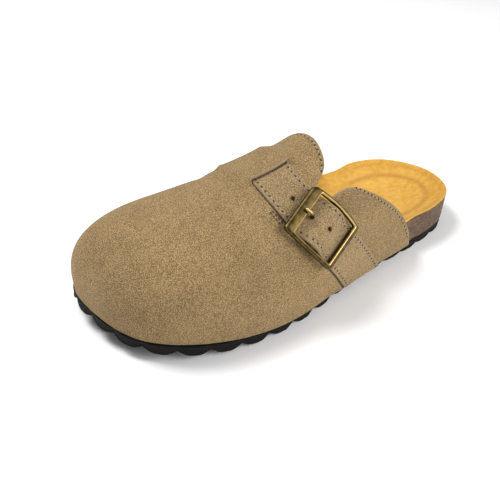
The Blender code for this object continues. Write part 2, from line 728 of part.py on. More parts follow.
def belt(name, lower, upper, material, collection, columns=6):
    """Strap between a lower and an upper line of (way, level) pairs, from its rear to its front edge."""
    across = np.linspace(-1, 1, columns + 1)[:, None]
    low = strap_point(across, *np.array(lower).T)
    high = strap_point(across, *np.array(upper).T)
    count = low.shape[1]
    rings = np.concatenate([high, low[:, ::-1]], axis=1)
    faces = ring_faces(*rings.shape[:2])
    for end in (0, columns):
        start = end * 2 * count
        for k in range(count - 1):
            faces.append((start + k, start + k + 1, start + 2 * count - 2 - k, start + 2 * count - 1 - k))
    return add_piece(name, rings.reshape(-1, 3), faces, material, collection)


def strap_levels():
    """Under side of the strap, from its sewn medial end to its end beneath the buckle."""
    medial_slit = 2 - MEDIAL_ROWS[MEDIAL_MARKS["slit"]]
    medial_bridge = 2 - MEDIAL_ROWS[MEDIAL_MARKS["bridge"]]
    slit = LATERAL_ROWS[LATERAL_MARKS["slit"]]
    bridge = LATERAL_ROWS[LATERAL_MARKS["bridge"]]
    return (
        (STRAP_START, STRAP_OVER_QUARTER), (medial_slit, STRAP_OVER_QUARTER),
        (medial_bridge, STRAP_IN_SLIT), (medial_bridge - 0.06, STRAP_UNDER_BRIDGE),
        (bridge + 0.04, STRAP_UNDER_BRIDGE), (bridge, STRAP_IN_SLIT), (slit, STRAP_OVER_QUARTER),
        (PIN_PLACE + 0.14, STRAP_OVER_QUARTER), (PIN_PLACE + 0.03, STRAP_OVER_PIN),
        (PIN_PLACE - 0.03, STRAP_OVER_PIN), (PIN_PLACE - 0.125, STRAP_OVER_ANCHOR), (STRAP_END, STRAP_OVER_ANCHOR),
    )


def make_strap(material, collection):
    """Instep strap with its holes, sewn on at the medial side and running through both slits."""
    bends = np.array(strap_levels())
    ways = [bends[0, 0]]
    for a, b in zip(bends[:-1, 0], bends[1:, 0]):
        parts = max(1, round(abs(a - b) / 0.035))
        ways += [a + (b - a) * k / parts for k in range(1, parts + 1)]
    ways = np.array(ways)
    levels = np.interp(-ways, -bends[:, 0], bends[:, 1])
    lower = np.stack([ways, levels], axis=1)
    upper = np.stack([ways, levels + STRAP_THICKNESS], axis=1)
    return belt("strap", lower, upper, material, collection)


def make_anchor_strap(material, collection):
    """Short strap that comes up from the sole over the lateral quarter and loops round the pin."""
    loop_start = PIN_PLACE - 0.5 * LOOP_RADIUS / WAY_SCALE
    ways = np.concatenate([np.linspace(0.0, 0.33, 8), [loop_start]])
    lower = [(w, ANCHOR_UNDER) for w in ways]
    upper = [(w, ANCHOR_TOP) for w in ways]
    inner = PIN_RADIUS + GAP
    for turn in np.radians(np.arange(-90, 181, 30)):
        for line, radius in ((lower, LOOP_RADIUS), (upper, inner)):
            away = -math.cos(turn) * radius
            line.append((PIN_PLACE - away / WAY_SCALE, PIN_LEVEL + math.sin(turn) * radius))
    return belt("anchor_strap", lower, upper, material, collection)


def make_buckle(material, collection, cutters):
    """Bent frame with bowed sides, a wide bar for the prong's tip and a pin across its middle."""

    def outline(bars, radius, inset):
        """Rounded outline, moved in by the bars' widths and an inset, with points along its straight runs."""
        low = -BUCKLE_LENGTH / 2 + bars[0] + inset
        high = BUCKLE_LENGTH / 2 - bars[1] - inset
        wide = BUCKLE_WIDTH / 2 - bars[2] - inset
        arcs = []
        for k, (a, f) in enumerate(((high, wide), (low, wide), (low, -wide), (high, -wide))):
            turn = QUARTER_TURN * (k + np.arange(4) / 3)
            middle = np.array((a - math.copysign(radius, a), f - math.copysign(radius, f)))
            arcs.append(middle + radius * np.stack([np.cos(turn), np.sin(turn)], axis=1))
        points = []
        for k, arc in enumerate(arcs):
            after = arcs[(k + 1) % 4][0]
            run = [arc[-1] + (after - arc[-1]) * step / 6 for step in range(1, 6)]
            points += [*arc, *run]
        return np.array(points)

    outer = (0, 0, 0)
    inner = (GRIP_BAR, END_BAR, SIDE_BAR)
    low = FRAME_UNDER
    high = FRAME_UNDER + BUCKLE_THICKNESS
    bevel = BUCKLE_BEVEL
    profile = (
        (outer, BUCKLE_CORNER, 0.0, low), (outer, BUCKLE_CORNER, 0.0, high - bevel),
        (outer, BUCKLE_CORNER, bevel, high), (inner, 0.001, -bevel, high),
        (inner, 0.001, 0.0, high - bevel), (inner, 0.001, 0.0, low),
    )
    loops = []
    for bars, radius, inset, level in profile:
        flat = outline(bars, radius, inset)
        along = flat[:, 0]
        share = 1 - (along / (BUCKLE_LENGTH / 2))**2
        front = flat[:, 1] + np.sign(flat[:, 1]) * BUCKLE_BOW * np.clip(share, 0, 1)
        bend = FRAME_BEND * (along / (BUCKLE_LENGTH / 2))**2
        loops.append(buckle_point(along, front, level - bend))
    rings = np.stack(loops, axis=1)
    frame = add_piece("buckle", rings.reshape(-1, 3), ring_faces(*rings.shape[:2], True), material, collection)
    reach = BUCKLE_WIDTH / 2 + BUCKLE_BOW - SIDE_BAR + 0.0008
    pin = add_rod("buckle_pin_cutter", [(0, -reach, PIN_LEVEL), (0, reach, PIN_LEVEL)], PIN_RADIUS, cutters, 12)
    join = frame.modifiers.new("pin", "BOOLEAN")
    join.operation = "UNION"
    join.object = pin
    return frame


def add_rod(name, path, radius, collection, sides=10, material=None):
    """Straight rod between two points given in the buckle's own axes."""
    ends = [buckle_point(*p) for p in path]
    axis = unit(ends[1] - ends[0])
    first = unit(np.cross(axis, (0.3, 0.5, 0.8)))
    second = np.cross(axis, first)
    turn = np.linspace(0, 2 * math.pi, sides, endpoint=False)[:, None]
    circle = (np.cos(turn) * first + np.sin(turn) * second) * radius
    points = np.concatenate([ends[0] + circle, ends[1] + circle])
    faces = ring_faces(2, sides)
    faces.append(list(range(sides)))
    faces.append(list(range(2 * sides - 1, sides - 1, -1)))
    return add_piece(name, points, faces, material or GUIDE, collection)


def prong_path():
    """Middle line of the prong in the buckle's axes, from its eye to its tip on the wide bar."""
    half = BUCKLE_LENGTH / 2
    grip = half - GRIP_BAR
    bend = FRAME_BEND * (grip / half)**2
    top = FRAME_UNDER + BUCKLE_THICKNESS + GAP + PRONG_RADIUS - bend
    eye = PIN_RADIUS + GAP + PRONG_RADIUS / 2
    return (
        (-eye, PIN_LEVEL), (-PRONG_BEND, PIN_LEVEL - PRONG_SAG), (-grip + 0.0008, top + 0.0002),
        (-half + 0.0018, top - 0.0006),
    )


def make_prong(material, collection):
    """Prong: an eye round the pin and a bent rod through the strap onto the wide bar."""
    path = prong_path()
    sides = 8
    rings = []
    points = [np.array(p) for p in path]
    for k, p in enumerate(points):
        before = points[max(k - 1, 0)]
        after = points[min(k + 1, len(points) - 1)]
        way = unit(after - before)
        normal = np.array((-way[1], way[0]))
        turn = np.linspace(0, 2 * math.pi, sides, endpoint=False)
        radius = PRONG_RADIUS * (0.8 if k == len(points) - 1 else 1.0)
        flat = p + np.cos(turn)[:, None] * normal * radius
        rings.append(buckle_point(flat[:, 0], np.sin(turn) * radius, flat[:, 1]))
    faces = ring_faces(len(rings), sides)
    faces.append(list(range(sides)))
    faces.append(list(range(len(rings) * sides - 1, (len(rings) - 1) * sides - 1, -1)))
    return add_piece("prong", np.concatenate(rings), faces, material, collection)


def make_prong_eye(cutters):
    """Closed ring round the pin that the prong is joined to."""
    steps = 16
    inner = PIN_RADIUS + GAP
    outer = inner + PRONG_RADIUS
    half = PRONG_RADIUS
    rings = []
    for turn in np.linspace(0, 2 * math.pi, steps, endpoint=False):
        section = ((inner, -half), (outer, -half), (outer, half), (inner, half))
        rings.append([buckle_point(math.cos(turn) * r, f, PIN_LEVEL + math.sin(turn) * r) for r, f in section])
    points = np.array(rings)
    return add_piece("prong_eye_cutter", points.reshape(-1, 3), ring_faces(steps, 4, True), GUIDE, cutters)


def subtract(piece, cutter, name):
    cut = piece.modifiers.new(name, "BOOLEAN")
    cut.operation = "DIFFERENCE"
    cut.object = cutter


def ground_shift(pieces):
    """Shift that brings the origin under the middle of the pieces' bounding box."""
    low = np.full(3, np.inf)
    high = np.full(3, -np.inf)
    for piece in pieces:
        corners = np.array([v.co for v in piece.data.vertices])
        low = np.minimum(low, corners.min(axis=0))
        high = np.maximum(high, corners.max(axis=0))
    shift = -(low + high) / 2
    shift[2] = -low[2]
    return shift


for old in list(bpy.data.objects):
    bpy.data.objects.remove(old)

shoe = new_collection("clog_slipper")
cutters = new_collection("cutters")
GUIDE = new_material("guide", (0.8, 0.8, 0.8), 0.5)
SUEDE = new_material("taupe_suede", (0.34, 0.26, 0.17), 0.95)
STRAP_SUEDE = new_material("strap_suede", (0.36, 0.28, 0.19), 0.95)
ANCHOR_SUEDE = new_material("anchor_suede", (0.35, 0.27, 0.18), 0.95)
LINING = new_material("yellow_lining_suede", (0.62, 0.42, 0.16), 0.9)
CORK = new_material("brown_cork", (0.13, 0.085, 0.055), 0.85)
EVA = new_material("black_outsole", (0.02, 0.018, 0.016), 0.6)
BRASS = new_material("antique_brass", (0.45, 0.36, 0.16), 0.35, 1.0)
PRONG_BRASS = new_material("prong_brass", (0.40, 0.32, 0.15), 0.35, 1.0)

outsole = make_outsole(EVA, shoe)
footbed = make_footbed(CORK, shoe)
insole = make_insole(LINING, shoe)
upper = make_upper(SUEDE, shoe)
strap = make_strap(STRAP_SUEDE, shoe)
anchor = make_anchor_strap(ANCHOR_SUEDE, shoe)
buckle = make_buckle(BRASS, shoe, cutters)
prong = make_prong(PRONG_BRASS, shoe)
eye = make_prong_eye(cutters)
join = prong.modifiers.new("eye", "BOOLEAN")
join.operation = "UNION"
join.object = eye

# The strap's holes: one takes the prong along its slope, the others are punched square
slope = prong_path()
prong_hole = add_rod(
    "prong_hole_cutter", [(p[0], 0.0, p[1]) for p in slope[1:3]], PRONG_RADIUS + 2 * GAP, cutters
)
subtract(strap, prong_hole, "prong hole")
prong_hole_place = PIN_PLACE + PRONG_HOLE / WAY_SCALE
for k, count in enumerate((-1, 1)):
    way = prong_hole_place + count * HOLE_PITCH / WAY_SCALE
    ends = [strap_point(0.0, way, level) for level in (0.0, 0.02)]
    local = [np.linalg.solve(np.array((ALONG, FRONT, OUT)).T, end - PIN_MIDDLE) for end in ends]
    subtract(strap, add_rod(f"hole_cutter_{k}", local, HOLE_RADIUS, cutters), f"hole {k}")

# The anchor strap's loop is slotted for the prong's eye
slot_half = PRONG_RADIUS + 0.0008
slot = []
for along in (-0.006, 0.0036):
    for front in (-slot_half, slot_half):
        for out in (0.0, PIN_LEVEL + 2 * LOOP_RADIUS):
            slot.append(buckle_point(along, front, out))
slot_faces = ((0, 1, 3, 2), (4, 6, 7, 5), (0, 4, 5, 1), (2, 3, 7, 6), (0, 2, 6, 4), (1, 5, 7, 3))
subtract(anchor, add_piece("slot_cutter", slot, slot_faces, GUIDE, cutters), "slot")

for cutter in cutters.objects:
    cutter.hide_render = True
    cutter.display_type = "WIRE"

shift = ground_shift(shoe.objects)
for piece in list(shoe.objects) + list(cutters.objects):
    piece.location = shift
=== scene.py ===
"""Clog slipper for the left foot: suede, cork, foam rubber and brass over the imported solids."""
import math

import bmesh
import bpy
import numpy as np
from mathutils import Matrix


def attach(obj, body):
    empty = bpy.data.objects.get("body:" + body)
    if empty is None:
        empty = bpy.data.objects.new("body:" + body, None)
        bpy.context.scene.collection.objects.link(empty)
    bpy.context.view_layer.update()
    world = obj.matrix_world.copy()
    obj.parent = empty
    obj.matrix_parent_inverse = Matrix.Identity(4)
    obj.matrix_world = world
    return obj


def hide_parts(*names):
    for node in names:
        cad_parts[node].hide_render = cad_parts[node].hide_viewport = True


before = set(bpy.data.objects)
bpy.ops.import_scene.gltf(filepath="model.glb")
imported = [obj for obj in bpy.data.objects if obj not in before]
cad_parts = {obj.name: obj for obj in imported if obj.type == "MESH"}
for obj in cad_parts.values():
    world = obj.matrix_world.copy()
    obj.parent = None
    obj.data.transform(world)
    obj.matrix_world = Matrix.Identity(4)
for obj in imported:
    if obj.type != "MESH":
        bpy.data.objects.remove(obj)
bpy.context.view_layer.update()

# The camera: a 50 mm lens 43 cm from the shoe's middle, in front of its outer side and above it. It
# looks down by 34 degrees and is turned a little about its own axis.
CAMERA_LENS = 50.0
CAMERA_PLACE = (0.2615, 0.2407, 0.2458)
CAMERA_TURN = 136.66
CAMERA_DOWN = 34.31
CAMERA_ROLL = -5.17


def unit(vectors):
    """Vectors along the last axis, each divided by its length."""
    return vectors / np.linalg.norm(vectors, axis=-1, keepdims=True)


turn, down, roll = (math.radians(angle) for angle in (CAMERA_TURN, CAMERA_DOWN, CAMERA_ROLL))
back = np.array((math.sin(turn) * math.cos(down), -math.cos(turn) * math.cos(down), math.sin(down)))
right = unit(np.cross(-back, (0, 0, 1)))
up = np.cross(right, -back)
axes = np.array((
    math.cos(roll) * right - math.sin(roll) * up,
    math.sin(roll) * right + math.cos(roll) * up,
    back,
))
lens = bpy.data.cameras.new("camera")
lens.lens = CAMERA_LENS
lens.clip_start = 0.01
camera = bpy.data.objects.new("camera", lens)
matrix = np.eye(4)
matrix[:3, :3] = axes.T
matrix[:3, 3] = CAMERA_PLACE
camera.matrix_world = matrix.T.tolist()
bpy.context.scene.collection.objects.link(camera)
bpy.context.scene.camera = camera
bpy.context.scene.view_settings.view_transform = "Standard"

# The floor and the light: a plain white sheet, a soft light overhead on the camera's left, a wider
# one on its right, and an even white surround.
FLOOR_HALF = 6.0
floor_mesh = bpy.data.meshes.new("floor")
floor_corners = [(x * FLOOR_HALF, y * FLOOR_HALF, 0) for x, y in ((-1, -1), (1, -1), (1, 1), (-1, 1))]
floor_mesh.from_pydata(floor_corners, [], [(0, 1, 2, 3)])
floor = bpy.data.objects.new("floor", floor_mesh)
bpy.context.scene.collection.objects.link(floor)


def soft_light(name, towards, away, side, power):
    """Square light so far away, towards a mix of the camera's right, the vertical and its level back."""
    lamp = bpy.data.lights.new(name, "AREA")
    lamp.size = side
    lamp.energy = power
    holder = bpy.data.objects.new(name, lamp)
    out = unit(towards[0] * right + towards[1] * np.array((0, 0, 1)) + towards[2] * unit(back * (1, 1, 0)))
    first = unit(np.cross((0, 0, 1), out))
    place = np.eye(4)
    place[:3, :3] = np.array((first, np.cross(out, first), out)).T
    place[:3, 3] = out * away
    holder.matrix_world = place.T.tolist()
    bpy.context.scene.collection.objects.link(holder)


soft_light("key_light", (-0.62, 1.0, -0.12), 1.3, 0.55, 16.5)
soft_light("fill_light", (1.0, 0.60, 0.38), 1.5, 1.0, 19.5)
world = bpy.data.worlds.new("surround")
world.use_nodes = True
surround = world.node_tree.nodes["Background"]
surround.inputs["Color"].default_value = (1.0, 1.0, 1.0, 1.0)
surround.inputs["Strength"].default_value = 0.33
bpy.context.scene.world = world


class Signal:
    """One number that varies over a surface. Arithmetic on it adds Math nodes to its finish."""

    def __init__(self, finish, socket):
        self.finish = finish
        self.socket = socket

    def combine(self, operation, first, second):
        """Signal that a Math node makes of two numbers or signals."""
        node = self.finish.add("ShaderNodeMath", {"operation": operation}, {0: first, 1: second})
        return Signal(self.finish, node.outputs[0])

    def __add__(self, other):
        return self.combine("ADD", self, other)

    __radd__ = __add__

    def __rsub__(self, other):
        return self.combine("SUBTRACT", other, self)

    def __mul__(self, other):
        return self.combine("MULTIPLY", self, other)

    __rmul__ = __mul__

    def at_most(self, other):
        """The lower of the two."""
        return self.combine("MINIMUM", self, other)

    def ramp(self, low, high):
        """0 below low, 1 above high, smooth between."""
        inputs = {"Value": self, "From Min": low, "From Max": high}
        node = self.finish.add("ShaderNodeMapRange", {"interpolation_type": "SMOOTHSTEP"}, inputs)
        return Signal(self.finish, node.outputs["Result"])


class Finish:
    """A material with a Principled shader, which reads noise, marks of the mesh and mixes of both."""

    def __init__(self, name, roughness, **constants):
        self.material = bpy.data.materials.new(name)
        self.material.use_nodes = True
        self.tree = self.material.node_tree
        self.shader = self.tree.nodes["Principled BSDF"]
        self.shader.inputs["Roughness"].default_value = roughness
        for socket, value in constants.items():
            self.shader.inputs[socket.replace("_", " ")].default_value = value
        self.place = self.add("ShaderNodeTexCoord", {}, {}).outputs["Object"]

    def add(self, kind, settings, inputs):
        """New node of a type, with inputs that are numbers, colours, signals or outputs of other nodes."""
        node = self.tree.nodes.new(kind)
        for name, value in settings.items():
            setattr(node, name, value)
        for key, value in inputs.items():
            if isinstance(value, Signal):
                value = value.socket
            if isinstance(value, bpy.types.NodeSocket):
                self.tree.links.new(value, node.inputs[key])
            else:
                node.inputs[key].default_value = value
        return node

    def noise(self, cell, detail=3.0, rough=0.55, place=None):
        """Noise from 0 to 1 whose cells measure about cell metres."""
        inputs = {"Vector": place or self.place, "Scale": 1 / cell, "Detail": detail, "Roughness": rough}
        return Signal(self, self.add("ShaderNodeTexNoise", {}, inputs).outputs["Fac"])

    def grains(self, cell, feature="F1", place=None):
        """Random cells of about cell metres: the node, with its Distance and Color."""
        inputs = {"Vector": place or self.place, "Scale": 1 / cell}
        return self.add("ShaderNodeTexVoronoi", {"feature": feature}, inputs)

    def stretched(self, x, y, z):
        """Object coordinates with each axis multiplied."""
        return self.add("ShaderNodeMapping", {}, {"Vector": self.place, "Scale": (x, y, z)}).outputs["Vector"]

    def mark(self, name):
        """Number that the mesh keeps at its points."""
        return Signal(self, self.add("ShaderNodeAttribute", {"attribute_name": name}, {}).outputs["Fac"])

    def mix(self, share, first, second):
        """Colour between two colours."""
        inputs = {0: share, 6: first, 7: second}
        return self.add("ShaderNodeMix", {"data_type": "RGBA", "clamp_factor": True}, inputs).outputs[2]

    def relief(self, height, depth):
        """Bump of so many metres for a height from 0 to 1."""
        node = self.add("ShaderNodeBump", {}, {"Strength": 1.0, "Distance": depth, "Height": height})
        self.tree.links.new(node.outputs["Normal"], self.shader.inputs["Normal"])

    def paint(self, socket, value):
        """Lead a signal or a colour to an input of the shader."""
        if isinstance(value, Signal):
            value = value.socket
        self.tree.links.new(value, self.shader.inputs[socket])


paper = Finish("white_paper", 0.9)
paper.paint("Base Color", paper.mix(paper.noise(0.3), (0.93, 0.93, 0.93, 1), (0.95, 0.95, 0.95, 1)))
floor_mesh.materials.append(paper.material)


# The outsole: one moulded sheet of black foam rubber, cut to the foot's outline, with shallow lobes
# round its lower edge, a raised arch and a little toe spring.
LENGTH = 0.265
BALL_WIDTH = 0.1005
SHIFT = np.array((-0.13276981, -0.00260628, 0.0))
SOLE_THICKNESS = 0.0055
TOE_SPRING = 0.0082
SPRING_START = 0.62
ARCH = (0.30, 0.56, 0.0012)
LOBES = 18
LOBE_DEPTH = 0.0026
LOBE_SCALLOP = 0.0008
GAP = 0.0003
HEEL_MIDDLE = 0.015
TOE_MIDDLE = -0.080
HEEL_FAN = 0.128
TOE_FAN = 0.189
OUTLINE = (
    (0.015, 0.167, 0.133), (0.050, 0.277, 0.260), (0.100, 0.335, 0.337), (0.160, 0.363, 0.368),
    (0.240, 0.383, 0.360), (0.340, 0.392, 0.338), (0.440, 0.420, 0.342), (0.540, 0.460, 0.383),
    (0.640, 0.497, 0.440), (0.720, 0.503, 0.479), (0.800, 0.482, 0.495), (0.870, 0.430, 0.488),
    (0.930, 0.345, 0.449), (0.970, 0.238, 0.383), (0.990, 0.112, 0.305),
)


def closed_curve(points, samples):
    """Closed cubic spline through points of the plan, with equal slopes and bends where spans meet."""
    p = np.array(points, float)
    after = np.roll(p, -1, axis=0)
    span = np.linalg.norm(after - p, axis=1)
    past = np.roll(span, 1)
    count = len(p)
    lhs = np.diag(2 * (past + span))
    k = np.arange(count)
    lhs[k, k - 1] = span
    lhs[k, (k + 1) % count] = past
    pull = (span / past)[:, None] * (p - np.roll(p, 1, axis=0)) + (past / span)[:, None] * (after - p)
    slope = np.linalg.solve(lhs, 3 * pull)
    t = (np.arange(samples) / samples)[None, :, None]
    leave = (slope * span[:, None])[:, None]
    arrive = (np.roll(slope, -1, axis=0) * span[:, None])[:, None]
    curve = (2 * t**3 - 3 * t**2 + 1) * p[:, None] + (t**3 - 2 * t**2 + t) * leave
    return (curve + (3 * t**2 - 2 * t**3) * after[:, None] + (t**3 - t**2) * arrive).reshape(-1, 2)


def spline(table, column, at):
    """Natural cubic spline through one column of a table of rows that start with the place."""
    rows = np.array(table, float)
    xs, ys = rows[:, 0], rows[:, column]
    step = np.diff(xs)
    count = len(xs)
    lhs = np.zeros((count, count))
    rhs = np.zeros(count)
    lhs[0, :2], lhs[-1, -2:] = (2, 1), (1, 2)
    rhs[0], rhs[-1] = 3 * (ys[1] - ys[0]) / step[0], 3 * (ys[-1] - ys[-2]) / step[-1]
    k = np.arange(1, count - 1)
    lhs[k, k - 1], lhs[k, k], lhs[k, k + 1] = step[1:], 2 * (step[:-1] + step[1:]), step[:-1]
    rise = np.diff(ys)
    rhs[1:-1] = 3 * (step[1:] * rise[:-1] / step[:-1] + step[:-1] * rise[1:] / step[1:])
    slope = np.linalg.solve(lhs, rhs)
    at = np.clip(np.asarray(at, float), xs[0], xs[-1])
    i = np.clip(np.searchsorted(xs, at) - 1, 0, count - 2)
    t = (at - xs[i]) / step[i]
    value = (2 * t**3 - 3 * t**2 + 1) * ys[i] + (t**3 - 2 * t**2 + t) * step[i] * slope[i]
    return value + (3 * t**2 - 2 * t**3) * ys[i + 1] + (t**3 - t**2) * step[i] * slope[i + 1]


def run_along(points):
    """Distance run along a line of points, 0 at the first."""
    return np.concatenate([[0], np.cumsum(np.linalg.norm(np.diff(points, axis=0), axis=1))])


def both_rims():
    """Outer and inner half of the outline from the heel to the toe, each by its share of the arc."""
    samples = 40
    lateral = [(s * LENGTH, wide * BALL_WIDTH) for s, wide, _ in OUTLINE]
    medial = [(s * LENGTH, -wide * BALL_WIDTH) for s, _, wide in reversed(OUTLINE)]
    heel, toe = (0, HEEL_MIDDLE * BALL_WIDTH), (LENGTH, TOE_MIDDLE * BALL_WIDTH)
    curve = closed_curve([heel, *lateral, toe, *medial], samples)
    half = samples * (len(lateral) + 1)
    rims = []
    for line in (curve[:half + 1], np.vstack([curve[half:], curve[:1]])[::-1]):
        way = run_along(line)
        rims.append((way / way[-1], line, way[-1]))
    return rims


RIMS = both_rims()
SIDES = (1, -1)


def rim_point(u, side, outward):
    """Point of the plan at arc share u of the outer (0) or inner (1) rim, moved square to the rim."""
    share, line, _ = RIMS[side]
    u = np.asarray(u, float)
    reach = 0.004

    def at(v):
        return np.stack([np.interp(v, share, line[:, 0]), np.interp(v, share, line[:, 1])], -1)

    along = at(np.clip(u + reach, 0, 1)) - at(np.clip(u - reach, 0, 1))
    along = np.where((u < 1e-9)[..., None], (0, SIDES[side]), along)
    along = unit(np.where((u > 1 - 1e-9)[..., None], (0, -SIDES[side]), along))
    out = np.stack([-along[..., 1], along[..., 0]], -1) * SIDES[side]
    return at(u) + out * np.asarray(outward)[..., None]


def rim_x(u, side):
    """Distance of the rim's point at arc share u from the heel's end."""
    return rim_point(u, side, 0 * np.asarray(u, float))[..., 0]


MIDDLE_X = np.linspace(0.08, 0.85, 60) * LENGTH
MIDDLE_Y = sum(np.interp(MIDDLE_X, line[:, 0], line[:, 1]) for _, line, _ in RIMS) / 2


def spine_point(u):
    """Point under the crest where the spokes of both sides meet: half way, fanned out at heel and toe."""
    share = (rim_x(u, 0) + rim_x(u, 1)) / 2 / LENGTH
    x = (share + HEEL_FAN * (1 - share)**7 - TOE_FAN * share**5) * LENGTH
    return np.stack([x, np.interp(x, MIDDLE_X, MIDDLE_Y)], -1)


def spring(x):
    """Toe spring at x: a parabola from where it starts to the toe."""
    return TOE_SPRING * np.clip((x / LENGTH - SPRING_START) / (1 - SPRING_START), 0, 1)**2


def across(u, reaches, rims):
    """Plan points from the outer rim over the spine to the inner rim, at shares of each spoke."""
    spine = spine_point(u)
    rows = [spine + (rims[0] - spine) * reach for reach in reaches]
    rows += [spine + (rims[1] - spine) * reach for reach in reaches[-2::-1]]
    return np.stack(rows, axis=1)


def mirrored(values):
    """Values of the spokes of one side carried on over those of the other, the middle one once."""
    return np.concatenate([values, values[-2::-1]])


def with_height(plan, z):
    """Points of the plan with their heights."""
    return np.concatenate([plan, np.broadcast_to(z, plan.shape[:-1])[..., None]], axis=-1)


def grid_faces(rows, columns, closed_rows=False, closed_columns=False):
    """Corner numbers of the quads of a grid of points, as one array."""
    i = np.arange(rows if closed_rows else rows - 1)[:, None]
    j = np.arange(columns if closed_columns else columns - 1)[None, :]
    corners = (i * columns + j, i * columns + (j + 1) % columns)
    after = ((i + 1) % rows * columns + (j + 1) % columns, (i + 1) % rows * columns + j)
    return np.stack(np.broadcast_arrays(*corners, *after), axis=-1).reshape(-1, 4)


def closed_mesh(name, points, faces, marks):
    """Mesh from points in the shoe's own frame and faces, with numbers kept at its points, its seams and
    poles closed and its faces outward."""
    mesh = bpy.data.meshes.new(name)
    corners = [list(map(int, face)) for face in faces]
    mesh.from_pydata((np.asarray(points).reshape(-1, 3) + SHIFT).tolist(), [], corners)
    for key, values in marks.items():
        layer = mesh.attributes.new(key, "FLOAT", "POINT")
        layer.data.foreach_set("value", np.ascontiguousarray(values, dtype=np.float32).ravel())
    work = bmesh.new()
    work.from_mesh(mesh)
    bmesh.ops.remove_doubles(work, verts=work.verts, dist=1e-7)
    bmesh.ops.dissolve_degenerate(work, edges=work.edges, dist=1e-8)
    bmesh.ops.recalc_face_normals(work, faces=work.faces)
    work.to_mesh(mesh)
    work.free()
    return mesh


def surface(name, points, faces, finish, slot, marks=None, sharp=50, node=None):
    """Smooth piece on the body root, with edges kept where its faces meet at more than sharp degrees."""
    mesh = closed_mesh(name, points, faces, marks or {})
    mesh.shade_smooth()
    mesh.set_sharp_from_angle(angle=math.radians(sharp))
    mesh.materials.append(finish.material)
    piece = bpy.data.objects.new(name, mesh)
    bpy.context.scene.collection.objects.link(piece)
    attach(piece, "root")
    if node:
        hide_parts(node)
    return piece


def closed_slab(top, under, sides):
    """Rings over the top, down the inner side, back below and up the outer side, one ring a spoke."""
    inner = [pair[1][:, None] for pair in sides]
    outer = [pair[0][:, None] for pair in reversed(sides)]
    rings = np.concatenate([top, *inner, under[:, ::-1], *outer], axis=1)
    return rings, grid_faces(rings.shape[0], rings.shape[1], closed_columns=True)


def outsole_form():
    """Slab whose lower edge rises in a groove between two lobes; the groove fades out towards the middle."""
    u = np.linspace(0, 1, 12 * LOBES + 1)
    phase = u * LOBES % 1
    groove = np.clip(np.abs(2 * phase - 1) * 1.35 - 0.35, 0, 1)**1.5 * np.interp(u, (0.34, 0.50), (0.45, 1.0))
    rims = [rim_point(u, side, -LOBE_SCALLOP * groove) for side in (0, 1)]
    reaches = (1.0, 0.985, 0.95, 0.90, 0.85, 0.80, 0.70, 0.60, 0.50, 0.30, 0.0)
    fade = mirrored(np.interp(reaches, (0.0, 0.55, 0.80, 1.0), (0.0, 0.0, 0.85, 1.0)))
    plan = across(u, reaches, rims)
    x = plan[..., 0]
    start, end, rise = ARCH
    arch = rise * np.sin(math.pi * np.clip((x / LENGTH - start) / (end - start), 0, 1))**2
    under = with_height(plan, spring(x) + arch + groove[:, None] * fade * LOBE_DEPTH)
    top_reaches = (0.995, 0.97, 0.86, 0.6, 0.3, 0.0)
    top = with_height(across(u, top_reaches, rims), 0.0)
    top[..., 2] = SOLE_THICKNESS + spring(top[..., 0])
    sides = []
    for down, inset in ((0.06, 0.0), (0.3, -0.0001), (0.6, -0.0003), (0.85, -0.0002), (0.96, 0.0)):
        pair = []
        for side in (0, 1):
            edge = rim_point(u, side, -LOBE_SCALLOP * groove + inset)
            high = SOLE_THICKNESS + spring(edge[:, 0])
            low = under[:, -side, 2]
            pair.append(with_height(edge, high + (low - high) * down))
        sides.append(pair)
    return closed_slab(top, under, sides)


foam = Finish("black_foam_rubber", 0.80, Specular_IOR_Level=0.12)
pores = foam.noise(0.0006, 2.0)
dust = foam.noise(0.02, 4.0).ramp(0.52, 0.75)
tone = foam.mix(dust * 0.5 + pores * 0.15, (0.0065, 0.006, 0.0055, 1), (0.022, 0.019, 0.016, 1))
foam.paint("Base Color", tone)
foam.paint("Roughness", 0.72 + 0.20 * dust)
foam.relief(pores * 0.6 + foam.noise(0.003, 2.0) * 0.4, 0.00025)
surface("outsole_moulded", *outsole_form(), foam, "black_outsole", sharp=35, node="outsole")


# The footbed: ground cork bound with latex, pressed to a heel cup, an arch and a raised rim, its
# cut side sanded flush with the sole at the heel and sealed dark.
INSTEP_HEIGHT = 0.084
HEEL_HEIGHT = 0.024
UPPER_WALL = 0.0018
BED_CLEARANCE = 0.0008
INSOLE_THICKNESS = 0.0010
QUARTER_REAR = 0.262
QUARTER_TURN = math.pi / 2
LAST = (
    (0.00, 0.600, 2.00, 0.000, 0.000), (0.20, 0.800, 2.00, 0.000, 0.015),
    (0.36, 0.960, 2.05, 0.010, 0.033), (0.46, 0.985, 2.05, 0.015, 0.022),
    (0.52, 0.926, 2.07, 0.015, 0.020), (0.60, 0.846, 2.09, 0.015, 0.019),
    (0.70, 0.796, 2.06, 0.017, 0.013), (0.80, 0.740, 2.26, 0.025, -0.003),
    (0.90, 0.685, 2.45, 0.055, -0.014), (1.00, 0.642, 2.47, 0.049, -0.006),
)
BED = (
    (0.00, 0.62, 1.00, 1.00, 3.0), (0.12, 0.58, 1.00, 1.00, 3.4), (0.24, 0.60, 0.98, 1.02, 3.4),
    (0.36, 0.70, 0.92, 1.12, 2.8), (0.48, 0.70, 0.84, 1.08, 2.8), (0.60, 0.58, 0.70, 0.84, 3.4),
    (0.72, 0.50, 0.60, 0.64, 4.0), (0.84, 0.46, 0.58, 0.58, 4.0), (1.00, 0.48, 0.64, 0.64, 4.0),
)
BED_HEIGHT = HEEL_HEIGHT - INSOLE_THICKNESS - GAP


def smooth(share):
    """0 below 0, 1 above 1, smooth between."""
    share = np.clip(share, 0, 1)
    return share * share * (3 - 2 * share)


